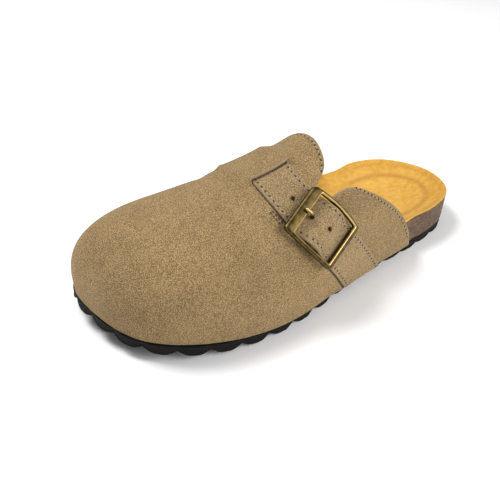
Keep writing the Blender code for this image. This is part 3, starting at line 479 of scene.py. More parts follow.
def last_heights(x):
    """Lower edge and crest of the upper's inner face at x."""
    crest = spline(LAST, 1, x / LENGTH) * INSTEP_HEIGHT - UPPER_WALL
    return SOLE_THICKNESS + GAP + spring(x), crest


def last_side(u, v, side):
    """Inner face of the upper: a superellipse from the rim to the crest on the spoke at arc share u."""
    flat = rim_x(u, side) / LENGTH
    rim = rim_point(u, side, spline(LAST, 4, flat) * BALL_WIDTH - UPPER_WALL)
    spine = spine_point(u)
    power = 2 / spline(LAST, 2, flat)
    spoke = rim - spine
    bulge = spline(LAST, 3, flat) * BALL_WIDTH * np.sin(2 * QUARTER_TURN * v)
    reach = np.abs(np.cos(QUARTER_TURN * v))**power + bulge / np.linalg.norm(spoke, axis=-1)
    plan = spine + spoke * reach[..., None]
    base, crest = last_heights(plan[..., 0])
    return with_height(plan, base + (crest - base) * np.abs(np.sin(QUARTER_TURN * v))**power)


def bed_sides(u, side, z):
    """Rim of the footbed at a height: flush with the sole at the heel, inside the upper further on."""
    flat = rim_x(u, side)
    inside = np.clip((u - 0.20) / (QUARTER_REAR - 0.008 - 0.20), 0, 1)
    outward = spline(LAST, 4, flat / LENGTH) * BALL_WIDTH - UPPER_WALL - BED_CLEARANCE
    rim = rim_point(u, side, outward * inside)
    base, crest = last_heights(flat)
    share = np.clip((z - base) / (crest - base), 0, 1)
    v = np.arcsin(share**(spline(LAST, 2, flat / LENGTH) / 2)) / QUARTER_TURN
    lean = last_side(u, v, side)[..., :2] - last_side(u, 0 * v, side)[..., :2]
    return rim + lean * inside[:, None]


def bed_rim_share(u, share, side):
    """Height of the footbed's rim as a share of the heel height, equal on both sides at heel and toe."""
    both = (spline(BED, 2, share) + spline(BED, 3, share)) / 2
    return both + (spline(BED, 2 + side, share) - both) * smooth(np.minimum(u, 1 - u) / 0.12)


def bed_top(plan, u, reaches, lift):
    """Height of the bed: its middle height plus a power of the reach towards the rim's height."""
    share = plan[..., 0] / LENGTH
    lateral = np.arange(plan.shape[1]) < len(reaches)
    rim = np.where(lateral, bed_rim_share(u[:, None], share, 0), bed_rim_share(u[:, None], share, 1))
    bed = spline(BED, 1, share)
    cup = mirrored(reaches)**spline(BED, 4, share)
    return (bed + (rim - bed) * cup) * BED_HEIGHT + spring(plan[..., 0]) + lift


def bed_rims(u, lift):
    """Upper edge of the bed at both sides, so much over the footbed's own."""
    rims = []
    for side in (0, 1):
        x = rim_x(u, side)
        z = bed_rim_share(u, x / LENGTH, side) * BED_HEIGHT + spring(x) + lift
        rims.append(bed_sides(u, side, z))
    return rims


def footbed_form():
    """Slab between the bed's top and the sole, its side leaning as the upper does, its lower edge eased."""
    u = np.linspace(0, 1, 141)
    rims = bed_rims(u, 0.0)
    reaches = np.array((1.0, 0.97, 0.93, 0.88, 0.82, 0.74, 0.66, 0.55, 0.42, 0.22, 0.0))
    plan = across(u, reaches, rims)
    top = with_height(plan, bed_top(plan, u, reaches, 0.0))
    base = SOLE_THICKNESS + GAP
    sides = []
    for way in (0.15, 0.35, 0.55, 0.75, 0.9):
        pair = []
        for side in (0, 1):
            low = base + spring(rims[side][:, 0])
            z = top[:, -side, 2] * (1 - way) + low * way
            pair.append(with_height(bed_sides(u, side, z), z))
        sides.append(pair)
    feet = [bed_sides(u, side, base + spring(rim_x(u, side))) for side in (0, 1)]
    under = with_height(across(u, (1.0, 0.5, 0.0), feet), 0.0)
    under[..., 2] = base + spring(under[..., 0])
    return closed_slab(top, under, sides)


cork = Finish("sealed_brown_cork", 0.72, Specular_IOR_Level=0.35)
flat_place = cork.stretched(1.0, 1.0, 1.5)
grain_tone, fine_tone = (
    Signal(cork, cork.add("ShaderNodeSeparateColor", {}, {"Color": grain.outputs["Color"]}).outputs[channel])
    for grain, channel in ((cork.grains(0.0021, place=flat_place), "Red"), (cork.grains(0.0009), "Green"))
)
soot = cork.noise(0.0035, 3.0).ramp(0.56, 0.70)
tone = cork.mix(grain_tone, (0.105, 0.060, 0.036, 1), (0.180, 0.110, 0.068, 1))
tone = cork.mix(fine_tone.ramp(0.62, 0.9) * 0.75, tone, (0.050, 0.030, 0.019, 1))
tone = cork.mix(soot * 0.7, tone, (0.040, 0.024, 0.016, 1))
tone = cork.mix(cork.noise(0.03, 2.0).ramp(0.4, 0.7) * 0.35, tone, (0.072, 0.046, 0.030, 1))
cork.paint("Base Color", tone)
groove = cork.grains(0.0021, "DISTANCE_TO_EDGE", flat_place).outputs["Distance"]
cork.relief(Signal(cork, groove).ramp(0.0, 0.12) * 0.6 + cork.noise(0.0008, 2.0) * 0.4, 0.0003)
surface("footbed_cork", *footbed_form(), cork, "brown_cork", sharp=45, node="footbed")


# The insole: a sheet of thin yellow split leather, glued on the footbed and cut along its rim. The
# nap lies in streaks and is darker in the tread of the heel.
def insole_form():
    """Sheet of even thickness on the bed, with its upper edge rounded over."""
    u = np.linspace(0, 1, 161)
    reaches = np.array((1.0, 0.992, 0.975, *np.linspace(0.95, 0.40, 22), 0.30, 0.15, 0.0))
    drop = mirrored(np.interp(reaches, (0.975, 0.992, 1.0), (0.0, 0.00015, 0.0006)))
    sheets = []
    for lift in (GAP, GAP + INSOLE_THICKNESS):
        plan = across(u, reaches, bed_rims(u, lift))
        height = bed_top(plan, u, reaches, lift)
        sheets.append(with_height(plan, height - drop * (lift > GAP)))
    rings, faces = closed_slab(sheets[1], sheets[0], [])
    reach = mirrored(reaches)
    band = np.exp(-((reach - 0.66) / 0.055)**2) + 0.5 * np.exp(-((reach - 0.90) / 0.03)**2)
    heel = 1 - smooth((sheets[1][..., 0] / LENGTH - 0.20) / 0.12)
    tread = np.concatenate([band * heel, np.zeros(sheets[0].shape[:2])], axis=1)
    return rings, faces, tread


lining = Finish("yellow_split_leather", 0.88, Sheen_Weight=0.08, Sheen_Roughness=0.5, Specular_IOR_Level=0.15)
streak = lining.noise(0.0026, 4.0, 0.6, lining.stretched(0.5, 1.0, 1.0))
cloud = lining.noise(0.022, 3.0)
nap = lining.noise(0.0007, 2.0)
tone = lining.mix(streak.ramp(0.3, 0.72), (0.520, 0.272, 0.040, 1), (0.655, 0.368, 0.068, 1))
tone = lining.mix(cloud.ramp(0.45, 0.7) * 0.35, tone, (0.700, 0.420, 0.100, 1))
tone = lining.mix(lining.mark("tread") * cloud.ramp(0.30, 0.60) * 0.75, tone, (0.400, 0.185, 0.030, 1))
tone = lining.mix(nap.ramp(0.50, 0.66) * 0.40, tone, (0.400, 0.205, 0.035, 1))
lining.paint("Base Color", tone)
lining.relief(nap * 0.7 + streak * 0.3, 0.00022)
insole_points, insole_faces, tread = insole_form()
surface(
    "insole_leather", insole_points, insole_faces, lining, "yellow_lining_suede", {"tread": tread},
    sharp=60, node="insole",
)


# The upper: taupe suede in three parts, the vamp with its tab over the instep, and a low quarter on
# each side that is sewn below the vamp's rear edge. The strap runs through two slits of the tab.
STRAP_WIDTH = 0.0252
STRAP_SIDE_GAP = 0.00025
STRAP_THICKNESS = 0.0018
ANCHOR_FLARE = 0.0030
ANCHOR_THICKNESS = 0.0012
STEP_RUN = 0.0003
VAMP_LAP = 0.0014
LAP_RUN = 0.014
LAP_ROUND = 0.0008
BRIDGE_EASE = 0.009
BRIDGE_RUN = {"tab": 0.012, "vamp": 0.014}
STRAP_ON_LATERAL_RIM = 0.430
STRAP_ON_MEDIAL_RIM = 0.4855
STRAP_ON_CREST = 0.590
STRAP_BOW = 0.09
SKEW = ((0.00, 0.0), (0.22, -0.065), (0.65, -0.065), (0.90, 0.0), (1.30, 0.0), (1.68, 0.03))
QUARTER_EDGES = (
    ((0.270, 0.09), (0.292, 0.20), (0.318, 0.29), (0.360, 0.38), (0.400, 0.46), (0.440, 0.55)),
    ((0.270, 0.09), (0.286, 0.17), (0.318, 0.26), (0.360, 0.32), (0.400, 0.36), (0.440, 0.40)),
)
TAB_EDGE = (
    (0.70, 0.520), (0.73, 0.501), (0.78, 0.487), (0.88, 0.476), (1.00, 0.468),
    (1.18, 0.462), (1.34, 0.464), (1.42, 0.480), (1.48, 0.505),
)
ROWS = (
    (0.00, 0.12, 0.24, 0.36, 0.47, 0.57, 0.64, 0.70, 0.81, 0.92, 0.95, 0.975, 1.00),
    (0.00, 0.12, 0.23, 0.33, 0.42, 0.47, 0.52, 0.61, 0.70, 0.73, 0.82, 0.91, 1.00),
)
TOE_ROWS = (0.00, 0.09, 0.18, 0.27, 0.36, 0.45, 0.54, 0.62, 0.70, 0.78, 0.85, 0.925, 1.00)
MARKS = (
    {"quarter": 5, "flap": 7, "slit": 9, "bridge": 10},
    {"quarter": 4, "flap": 6, "slit": 8, "bridge": 9},
)
QUARTER_TOP = UPPER_WALL
STRAP_OVER_QUARTER = QUARTER_TOP + GAP
STRAP_IN_SLIT = (STRAP_OVER_QUARTER + GAP) / 2
BRIDGE_UNDER = GAP + STRAP_THICKNESS + 2 * GAP
BRIDGE_LIP = STRAP_IN_SLIT + STRAP_THICKNESS + 2 * GAP


def last_point(u, way, level):
    """Point so high over the last; way is 0 at the outer rim, 1 on the crest and 2 at the inner rim."""
    u, way, level = np.broadcast_arrays(np.asarray(u, float), way, level)
    v = np.where(way > 1, 2 - way, way)
    d = 1e-3
    places, outs = [], []
    for side in (0, 1):
        places.append(last_side(u, v, side))
        along = last_side(np.clip(u + d, 0, 1), v, side) - last_side(np.clip(u - d, 0, 1), v, side)
        rise = last_side(u, np.clip(v + d, d, 1 - d), side) - last_side(u, np.clip(v - d, 0, 1 - 2 * d), side)
        out = np.cross(along, rise) * -SIDES[side]
        outs.append(unit(out))
    medial = (way > 1)[..., None]
    out = np.where(medial, outs[1], outs[0])
    shared = (v > 1 - 1e-9) | (u > 1 - 1e-9)
    out = np.where(shared[..., None], outs[0] + outs[1], out)
    out = unit(np.where((v < 1e-9)[..., None], out * (1, 1, 0), out))
    return np.where(medial, places[1], places[0]) + out * level[..., None]


def strap_middle(way):
    """Arc share of the strap's middle line: a sine from the rim to the crest, bowed on the outer side."""
    way = np.asarray(way, float)
    turn = QUARTER_TURN * np.where(way > 1, 2 - way, way)
    rise = np.sin(turn) + np.where(way > 1, 0, STRAP_BOW) * np.sin(2 * turn)
    rim = np.where(way > 1, STRAP_ON_MEDIAL_RIM, STRAP_ON_LATERAL_RIM)
    return rim + (STRAP_ON_CREST - rim) * rise


def strap_scale():
    """Metres across the strap for each unit of arc share, along the way round."""
    way = np.linspace(0, 2, 81)
    u = strap_middle(way)
    d = 0.004
    ahead, behind = np.clip(way + d, 0, 2), np.clip(way - d, 0, 2)
    over = (last_point(u + d, way, 0.0) - last_point(u - d, way, 0.0)) / (2 * d)
    along = last_point(strap_middle(ahead), ahead, 0.0) - last_point(strap_middle(behind), behind, 0.0)
    return way, np.linalg.norm(np.cross(over, unit(along)), axis=-1)


STRAP_SCALE = strap_scale()


def strap_line(way, sideways):
    """Arc share so many metres from the strap's middle line, positive to the toe."""
    return strap_middle(way) + sideways / np.interp(way, *STRAP_SCALE)


HALF_CUT = STRAP_WIDTH / 2 + STRAP_SIDE_GAP


def quarter_edge(table, share):
    """Arc share and way at shares of the run along a quarter's edge."""
    table = np.array(table)
    run = run_along(table * (2, 1))
    keyed = np.column_stack([run / run[-1], table])
    return spline(keyed, 1, share), spline(keyed, 2, share)


def upper_place(zone, share, row, side):
    """Arc share and way of the upper's points, for columns of a zone and rows counted up from the rim."""
    share, row = share[:, None], row[None, :]
    marks = MARKS[side]
    v = np.interp(row, np.arange(13), ROWS[side]) + 0 * share

    def way(height):
        return height if side == 0 else 2 - height

    if zone == "vamp":
        toe = np.interp(row, np.arange(13), TOE_ROWS)
        v = v + (toe - v) * smooth(share)
        start = strap_line(way(v), HALF_CUT + STEP_RUN)
        return start + (1 - start) * share, way(v)
    rear = strap_line(way(v), -HALF_CUT)
    if zone == "strap":
        return rear + (strap_line(way(v), HALF_CUT) - rear) * share, way(v)
    if zone == "tab":
        start = spline(TAB_EDGE, 1, way(v))
        return start + (rear - start) * share, way(v)
    top = ROWS[side][marks["quarter"]]
    meets_strap = (float(strap_line(way(top), -HALF_CUT)), top)
    edge_u, edge_v = quarter_edge(QUARTER_EDGES[side] + (meets_strap,), share)
    foot = QUARTER_REAR + (float(strap_line(way(0.0), -HALF_CUT)) - QUARTER_REAR) * share
    height = edge_v * row / marks["quarter"]
    own = share**4
    rise = np.sin(QUARTER_TURN * height) / np.sin(QUARTER_TURN * edge_v)
    u = foot + (edge_u - foot) * rise
    height = height + (v - height) * own
    return u + (strap_line(way(height), -HALF_CUT) - u) * own, way(height)


def rounded(distance, radius):
    """Quarter circle: 0 at an edge, 1 from a radius away."""
    return np.sqrt(1 - np.clip(1 - distance / radius, 0, 1)**2)


def upper_height(zone, u, way, row, side):
    """Lift of the inner face and extra thickness of the outer face, in metres. Away from the strap the
    lift of the bridge sets in more gently."""
    marks = MARKS[side]
    half = HALF_CUT if zone == "vamp" else -HALF_CUT
    away = np.abs(u - strap_line(way, half)) * RIMS[0][2]
    ramp = 1.0 if zone == "strap" else smooth(1 - away / BRIDGE_RUN[zone])
    stops = (marks["slit"], marks["bridge"], marks["bridge"] + 1)
    lift = np.interp(row, stops, (0.0, BRIDGE_LIP, BRIDGE_UNDER))
    low, high = (ROWS[side][marks[name]] for name in ("slit", "bridge"))
    eased = 0.0 if zone == "strap" else smooth(away / BRIDGE_EASE)
    gentle = BRIDGE_UNDER * smooth((1 - np.abs(1 - way) - low + 0.26 * eased) / (high - low + 0.40 * eased))
    lift = (lift[None, :] * (1 - eased) + gentle * eased) * ramp
    lap = np.zeros_like(u)
    if zone == "vamp":
        over = np.clip(1 - row / marks["bridge"], 0, 1)**0.25
        lap = VAMP_LAP * smooth(1 - away / LAP_RUN) * rounded(away, LAP_ROUND) * over[None, :]
    return lift, lap


def dense(stops, inner, near):
    """Places that run evenly between stops, with two more close to each stop."""
    lines = [np.linspace(a, b, inner + 1) for a, b in zip(stops[:-1], stops[1:])]
    extra = [stop + side * d for stop in stops for side in (-1, 1) for d in near]
    lines = np.unique(np.round(np.concatenate([*lines, extra]), 5))
    return lines[(lines >= stops[0]) & (lines <= stops[-1])]


def upper_form():
    """Wall over the last as one grid, with cells left out at slits and collar and its cut edges rounded."""
    rows = dense(np.arange(0, 13), 4, (0.04, 0.10))
    rear = dense((0.0, 1.0), 26, (0.012, 0.03))
    slot = dense((0.0, 1.0), 16, (0.015, 0.035))
    vamp = np.concatenate([(0.0, 0.0012, 0.003, 0.0055, 0.009, 0.014), np.linspace(0.02, 1.0, 70)])
    middle = ((rows[1:] + rows[:-1]) / 2)[None, :]
    cell = np.arange(len(rear) + len(slot) + len(vamp) - 2)[:, None]
    beside_gap = cell < len(rear) + 0.6 * len(slot)
    at_strap = (cell >= len(rear) - 1) & (cell < len(rear) + len(slot) - 1)
    grids, kept = [], []
    for side in (0, 1):
        marks = MARKS[side]
        zones = []
        for zone, share in (("quarter", rear), ("strap", slot[1:]), ("vamp", vamp)):
            u, way = upper_place(zone, share, rows, side)
            if zone == "quarter":
                zone = "tab"
                high = rows > marks["quarter"] + 1e-6
                tab_u, tab_way = upper_place(zone, share, rows, side)
                u, way = np.where(high, tab_u, u), np.where(high, tab_way, way)
            zones.append(np.stack([u, way, *upper_height(zone, u, way, rows, side)]))
        grids.append(np.concatenate(zones, axis=1))
        gap_rows = (middle > marks["quarter"]) & (middle < marks["flap"])
        slit_rows = (middle > marks["slit"]) & (middle < marks["bridge"])
        kept.append(~(beside_gap & gap_rows) & ~(at_strap & slit_rows))
    grid = np.concatenate([grids[0], grids[1][:, :, -2::-1]], axis=2)
    return *grid, np.concatenate([kept[0], kept[1][:, ::-1]], axis=1)


def edge_distance(points, there):
    """Distance of each grid point from the nearest cut edge, in metres."""
    padded = np.zeros((there.shape[0] + 2, there.shape[1] + 2), int)
    padded[1:-1, 1:-1] = there
    around = padded[:-1, :-1] + padded[1:, :-1] + padded[:-1, 1:] + padded[1:, 1:]
    around[-1, :] = 4
    rim = (around > 0) & (around < 4)
    edge = points[rim]
    parts = np.array_split(points.reshape(-1, 3), 40)
    near = [np.sqrt(((part[:, None] - edge[None])**2).sum(-1).min(1)) for part in parts]
    return np.concatenate(near).reshape(points.shape[:2])


def shallow_relief(points):
    """Sum of a few long waves over the leather, from -1 to 1: where it lies less than tight."""
    x, y, z = np.moveaxis(points, -1, 0)
    long_waves = np.sin(61 * x + 83 * y + 1.1) * np.sin(47 * y - 71 * z + 0.4)
    return (long_waves + 0.6 * np.sin(118 * x - 97 * y + 53 * z)) / 1.6


def crease(u, way, start, end, width):
    """Soft trough between two places of the last: 1 on its line, falling off as a bell."""
    across_line = np.array((end[0] - start[0], (end[1] - start[1]) * 0.5))
    length = np.hypot(*across_line)
    x, y = u - start[0], (way - start[1]) * 0.5
    share = np.clip((x * across_line[0] + y * across_line[1]) / length**2, 0, 1)
    off = np.hypot(x - share * across_line[0], y - share * across_line[1])
    return np.exp(-(off / width)**2) * np.sin(math.pi * np.clip(share, 0.02, 0.98))**0.5


EDGE_ROUND = 0.0007
u, way, lift, lap, there = upper_form()
inner_face = last_point(u, way, lift)
cut = edge_distance(inner_face, there)
round_off = rounded(cut, EDGE_ROUND)
calm = smooth(cut / 0.006)
relief = 0.00016 * shallow_relief(inner_face) * calm
for start, end, width, depth in (
    ((0.66, 0.62), (0.70, 1.10), 0.012, 0.00045), ((0.69, 1.02), (0.66, 1.42), 0.012, 0.00040),
    ((0.74, 0.72), (0.76, 1.25), 0.016, 0.00030), ((0.56, 0.99), (0.66, 1.02), 0.018, -0.00025),
):
    relief = relief - depth * crease(u, way, start, end, width) * calm
eased_off = UPPER_WALL / 2 * (1 - round_off) * 0.98
inner_face = last_point(u, way, lift + eased_off)
outer_face = last_point(u, way, lift + UPPER_WALL - eased_off + lap + relief)


def wall_faces(there):
    """Quads of both faces of the wall and of its cut edges, for the cells that are there."""
    rows, columns = there.shape[0] + 1, there.shape[1] + 1
    cells = grid_faces(rows, columns)
    keep = there.ravel()
    padded = np.zeros((rows + 1, columns + 1), bool)
    padded[1:-1, 1:-1] = there
    padded[-1, :] = padded[-2, :]
    number = np.arange(rows * columns).reshape(rows, columns)
    i, j = np.nonzero(padded[:-1, 1:-1] != padded[1:, 1:-1])
    k, m = np.nonzero(padded[1:-1, :-1] != padded[1:-1, 1:])
    edges = np.concatenate([
        np.column_stack([number[i, j], number[i, j + 1]]), np.column_stack([number[k, m], number[k + 1, m]]),
    ])
    rims = np.column_stack([edges, edges[:, ::-1] + rows * columns])
    return np.concatenate([cells[keep] + rows * columns, cells[keep][:, ::-1], rims])


class Suede(Finish):
    """Taupe nap: clouds of lighter and darker brushed pile, fine speckle, worn light along cut edges, and
    painted shade, near black, where the mesh marks it.
    """

    def __init__(self, name, light, dark, pale_edge=0.5):
        sheen = {"Sheen_Weight": 0.10, "Sheen_Roughness": 0.55, "Sheen_Tint": (0.95, 0.86, 0.70, 1)}
        super().__init__(name, 0.93, Specular_IOR_Level=0.10, **sheen)
        cloud = self.noise(0.016, 4.0, 0.6)
        brushed = self.noise(0.0042, 3.0, 0.6)
        speckle = self.noise(0.00047, 1.0, 0.6)
        pile = self.noise(0.00030, 0.0)
        broad = self.noise(0.045, 2.0)
        tone = self.mix(cloud.ramp(0.35, 0.68), (*dark, 1), (*light, 1))
        tone = self.mix(broad.ramp(0.48, 0.68) * 0.45, tone, (*(c * 1.28 for c in light), 1))
        tone = self.mix(brushed.ramp(0.46, 0.70) * 0.25, tone, (*(c * 1.18 for c in light), 1))
        tone = self.mix((1 - brushed).ramp(0.50, 0.70) * 0.22, tone, (*(c * 0.76 for c in dark), 1))
        tone = self.mix(speckle.ramp(0.50, 0.58) * 0.60, tone, (*(c * 0.30 for c in dark), 1))
        tone = self.mix((1 - speckle).ramp(0.50, 0.58) * 0.60, tone, (*(c * 1.75 for c in light), 1))
        tone = self.mix(pile.ramp(0.52, 0.60) * 0.45, tone, (*(c * 0.40 for c in dark), 1))
        tone = self.mix(self.mark("cut_edge") * pale_edge, tone, (0.330, 0.255, 0.175, 1))
        tone = self.mix(self.mark("inside") * 0.85, tone, (0.40, 0.245, 0.095, 1))
        # Painted shade: near-black brown where the mesh's shade mark stands in for shadow on the suede.
        tone = self.mix(self.mark("painted_shade"), tone, (0.040, 0.026, 0.016, 1))
        self.paint("Base Color", tone)
        self.relief(speckle * 0.5 + pile * 0.25 + brushed * 0.25, 0.00050)


suede = Suede("taupe_suede_nap", (0.305, 0.206, 0.096), (0.240, 0.160, 0.074))
# Painted shadow: a near-black band along the vamp's rear edge and over the gap before the strap, below the
# bridge, on the outer face only.
vamp_line = (u - strap_line(way, HALF_CUT)) * RIMS[0][2]
below_bridge = 1 - smooth((1 - np.abs(1 - way) - 0.66) / 0.05)
vamp_edge_shadow = smooth((vamp_line + 0.0012) / 0.0010) * (1 - smooth((vamp_line - 0.0009) / 0.0009)) * below_bridge
marks = {
    "inside": np.concatenate([cut.ravel() > 0.0003, np.zeros(u.size)]),
    "cut_edge": np.tile((1 - smooth((cut - 0.0004) / 0.0009)).ravel(), 2),
    "painted_shade": np.concatenate([np.zeros(u.size), 0.85 * vamp_edge_shadow.ravel()]),
}
wall = np.stack([inner_face, outer_face])
surface("upper_suede", wall, wall_faces(there), suede, "taupe_suede", marks, sharp=70, node="upper")


# The strap: suede folded double and sewn along both edges, sewn to the vamp on the inner side, drawn
# through both slits and down under the buckle. Of its three holes two are punched; the one for the prong is
# not cut.
PIN_PLACE = 0.463
PIN_RADIUS = 0.0012
BUCKLE_WIDTH = 0.0315
BUCKLE_LENGTH = 0.0385
BUCKLE_THICKNESS = 0.0026
BUCKLE_SKEW = 0.14
GRIP_BAR = 0.0058
STRAP_START = 1.68
STRAP_END = 0.279
HOLE_RADIUS = 0.0013
HOLE_PITCH = 0.01185
PRONG_HOLE = 0.0108
PRONG_RADIUS = 0.0010
SEAM_FROM_EDGE = 0.0022
FILL_OUT = 0.00155
PIN_FLAT = 0.0165
PIN_FLAT_EASE = 0.008


def skew(way):
    """How far a square cut across the strap runs on along the way round, from its rear to its front edge."""
    return np.interp(way, *np.array(SKEW).T)


def buckle_axes():
    """Middle of the buckle on the last, its axes (the bars run askew), metres for each unit of way, and
    the last's drop and twist below the buckle."""
    middle = last_point(strap_middle(PIN_PLACE), PIN_PLACE, 0.0)
    d = 0.01
    lower = last_point(strap_middle(PIN_PLACE - d), PIN_PLACE - d, 0.0)
    upper = last_point(strap_middle(PIN_PLACE + d), PIN_PLACE + d, 0.0)
    scale = np.linalg.norm(lower - upper) / (2 * d)
    out = unit(last_point(strap_middle(PIN_PLACE), PIN_PLACE, 1.0) - middle)
    along = unit(lower - upper)
    along = unit(along - out * along.dot(out))
    front = unit(np.cross(along, out) - BUCKLE_SKEW * along)
    reach = BUCKLE_LENGTH / 2 / scale
    ends = [last_point(strap_middle(w), w, 0.0) for w in (PIN_PLACE - reach, PIN_PLACE + reach)]
    drop = -sum((end - middle).dot(out) for end in ends) / 2
    twist = 0.0
    for end in (-1, 1):
        for edge in (-1, 1):
            way = PIN_PLACE - end * reach
            way = way + skew(way) * edge / 2
            corner = last_point(strap_line(way, edge * STRAP_WIDTH / 2), way, 0.0) - middle
            at_along, at_front, at_out = np.linalg.solve(np.array((along, front, out)).T, corner)
            twist += at_out / (at_along * at_front) / 4
    return middle, along, front, out, scale, drop, twist


PIN_MIDDLE, ALONG, FRONT, OUT, WAY_SCALE, LAST_DROP, LAST_TWIST = buckle_axes()
FRAME_BEND = 0.55 * LAST_DROP
ANCHOR_UNDER = QUARTER_TOP + GAP
ANCHOR_TOP = ANCHOR_UNDER + ANCHOR_THICKNESS
PIN_LEVEL = ANCHOR_UNDER + ANCHOR_THICKNESS + GAP + PIN_RADIUS
LOOP_RADIUS = PIN_RADIUS + GAP + ANCHOR_THICKNESS
STRAP_OVER_PIN = PIN_LEVEL + LOOP_RADIUS + GAP
STRAP_OVER_ANCHOR = ANCHOR_TOP + GAP
GRIP_SHARE = 1 - GRIP_BAR / (BUCKLE_LENGTH / 2)
FRAME_UNDER = STRAP_OVER_ANCHOR + STRAP_THICKNESS + 3 * GAP - (LAST_DROP - FRAME_BEND) * GRIP_SHARE**2


def buckle_point(along, front, out):
    """Point by its distances along the strap, to the front and out of the twisted plane at the buckle."""
    along, front, out = np.broadcast_arrays(np.asarray(along, float), front, out)
    out = out + LAST_TWIST * along * front
    return PIN_MIDDLE + along[..., None] * ALONG + front[..., None] * FRONT + out[..., None] * OUT


def strap_point(side_share, way, level):
    """Point of a strap: side_share from -1 (rear edge) to 1 (front edge). Round the pin it turns straight."""
    side_share, way, level = np.broadcast_arrays(np.asarray(side_share, float), way, level)
    half = STRAP_WIDTH / 2
    slanted = way + skew(way) * side_share / 2
    flare = ANCHOR_FLARE * np.clip(1 - way / PIN_PLACE, 0, 1) * (1 - side_share) / 2
    laid = last_point(strap_line(slanted, side_share * half - flare), slanted, level)
    along = (PIN_PLACE - way) * WAY_SCALE
    sag = LAST_DROP * (along / (BUCKLE_LENGTH / 2))**2
    at_pin = buckle_point(along, side_share * half, level - sag)
    near = smooth((PIN_FLAT - np.abs(along)) / PIN_FLAT_EASE)
    fill = FILL_OUT * np.exp(-((along - 0.001) / 0.0115)**2) * np.clip(side_share, 0, 1)**3
    fill = fill - FILL_OUT * np.exp(-((along + 0.011) / 0.0065)**2) * np.clip(-side_share, 0, 1)**3
    return laid + (at_pin - laid) * near[..., None] + fill[..., None] * FRONT


def strap_path():
    """Way and level of the strap's under side, with its bends eased over a few millimetres."""
    bridge_in = 2 - ROWS[1][MARKS[1]["bridge"]]
    slit_in = 2 - ROWS[1][MARKS[1]["slit"]]
    bridge_out = ROWS[0][MARKS[0]["bridge"]]
    slit_out = ROWS[0][MARKS[0]["slit"]]
    bends = np.array((
        (STRAP_START, STRAP_OVER_QUARTER), (slit_in, STRAP_OVER_QUARTER), (bridge_in, STRAP_IN_SLIT),
        (bridge_in - 0.06, GAP), (bridge_out + 0.04, GAP), (bridge_out, STRAP_IN_SLIT),
        (slit_out, STRAP_OVER_QUARTER), (PIN_PLACE + 0.14, STRAP_OVER_QUARTER),
        (PIN_PLACE + 0.03, STRAP_OVER_PIN), (PIN_PLACE - 0.03, STRAP_OVER_PIN),
        (PIN_PLACE - 0.125, STRAP_OVER_ANCHOR), (STRAP_END, STRAP_OVER_ANCHOR),
    ))
    way = np.linspace(STRAP_START, STRAP_END, 190)
    window = np.linspace(-0.016, 0.016, 9)
    weight = 1 - (np.abs(window) / 0.018)**2
    spread = np.clip(way[:, None] + window[None, :], STRAP_END, STRAP_START)
    level = (np.interp(-spread, -bends[:, 0], bends[:, 1]) * weight).sum(1) / weight.sum()
    return way, level


def belt_profile(rounding):
    """Places across a strap, denser to its edges, their distance from the edge, how thick the rounded edge
    leaves it there, and how much of that the seam draws in."""
    t = np.linspace(-1, 1, 41)
    t = np.sign(t) * (1 - (1 - np.abs(t))**1.6)
    edge = (1 - np.abs(t)) * STRAP_WIDTH / 2
    seam = 0.22 * np.exp(-((edge - SEAM_FROM_EDGE) / 0.0007)**2)
    return t[:, None], edge[:, None], rounded(edge, rounding)[:, None], seam[:, None]


def belt_skin(top, under):
    """Closed tube from a strap's upper and lower side, with a cap along each of its long edges."""
    rings = np.concatenate([top, under[:, ::-1]], axis=1)
    size = rings.shape[1]
    k = np.arange(size // 2 - 1)
    caps = [
        np.column_stack([base + k, base + k + 1, base + size - 2 - k, base + size - 1 - k])
        for base in (0, (len(rings) - 1) * size)
    ]
    return rings.reshape(-1, 3), np.concatenate([grid_faces(len(rings), size, closed_columns=True), *caps])


def belt_form(way, low):
    """Strap between its under side and its thickness over that, plump between its seams, ends closed."""
    t, edge, round_edge, seam = belt_profile(0.0008)
    ends = np.minimum(np.arange(len(way)), np.arange(len(way))[::-1])
    half = STRAP_THICKNESS / 2 * np.maximum(rounded(ends, 3), 0.12)
    middle = low + STRAP_THICKNESS / 2
    top = strap_point(t, way, middle + half * (round_edge - seam))
    under = strap_point(t, way, middle - half * round_edge)
    cut = np.minimum(edge, np.minimum(ends, 30) * 0.0007)
    return *belt_skin(top, under), np.concatenate([cut, cut[:, ::-1]], axis=1).ravel()


def rod_faces(rings, sides, count=1):
    """Quads and end caps of so many closed rods, each of so many rings of so many points."""
    size = rings * sides
    tube = grid_faces(rings, sides, closed_columns=True)
    faces = (tube[None] + (np.arange(count) * size)[:, None, None]).reshape(-1, 4).tolist()
    for base in range(0, count * size, size):
        faces += [list(range(base + sides - 1, base - 1, -1)), list(range(base + size - sides, base + size))]
    return faces


def strap_top(way):
    """Level of the strap's upper side at a way."""
    return np.interp(-way, -strap_way, strap_low) + STRAP_THICKNESS


def round_turn(count):
    """Angles of so many points round a circle."""
    return np.linspace(0, 2 * math.pi, count, endpoint=False)


def punch(piece, way):
    """Round hole through the strap, cut with an exact Boolean and a tapered punch."""
    ends = strap_point(0.0, way, strap_top(way) + np.array((-0.0030, 0.0022)))
    axis = unit(ends[1] - ends[0])
    first = unit(np.cross(axis, (0.3, 0.5, 0.8)))
    turn = round_turn(32)[:, None]
    circle = HOLE_RADIUS * (np.cos(turn) * first + np.sin(turn) * np.cross(axis, first))
    mesh = closed_mesh("punch", [ends[0] + circle * 0.9, ends[1] + circle * 1.3], rod_faces(2, 32), {})
    tool = bpy.data.objects.new("punch", mesh)
    bpy.context.scene.collection.objects.link(tool)
    cut = piece.modifiers.new("hole", "BOOLEAN")
    cut.operation = "DIFFERENCE"
    cut.object = tool
    done = bpy.data.meshes.new_from_object(piece.evaluated_get(bpy.context.evaluated_depsgraph_get()))
    piece.modifiers.remove(cut)
    piece.data = done
    bpy.data.objects.remove(tool)


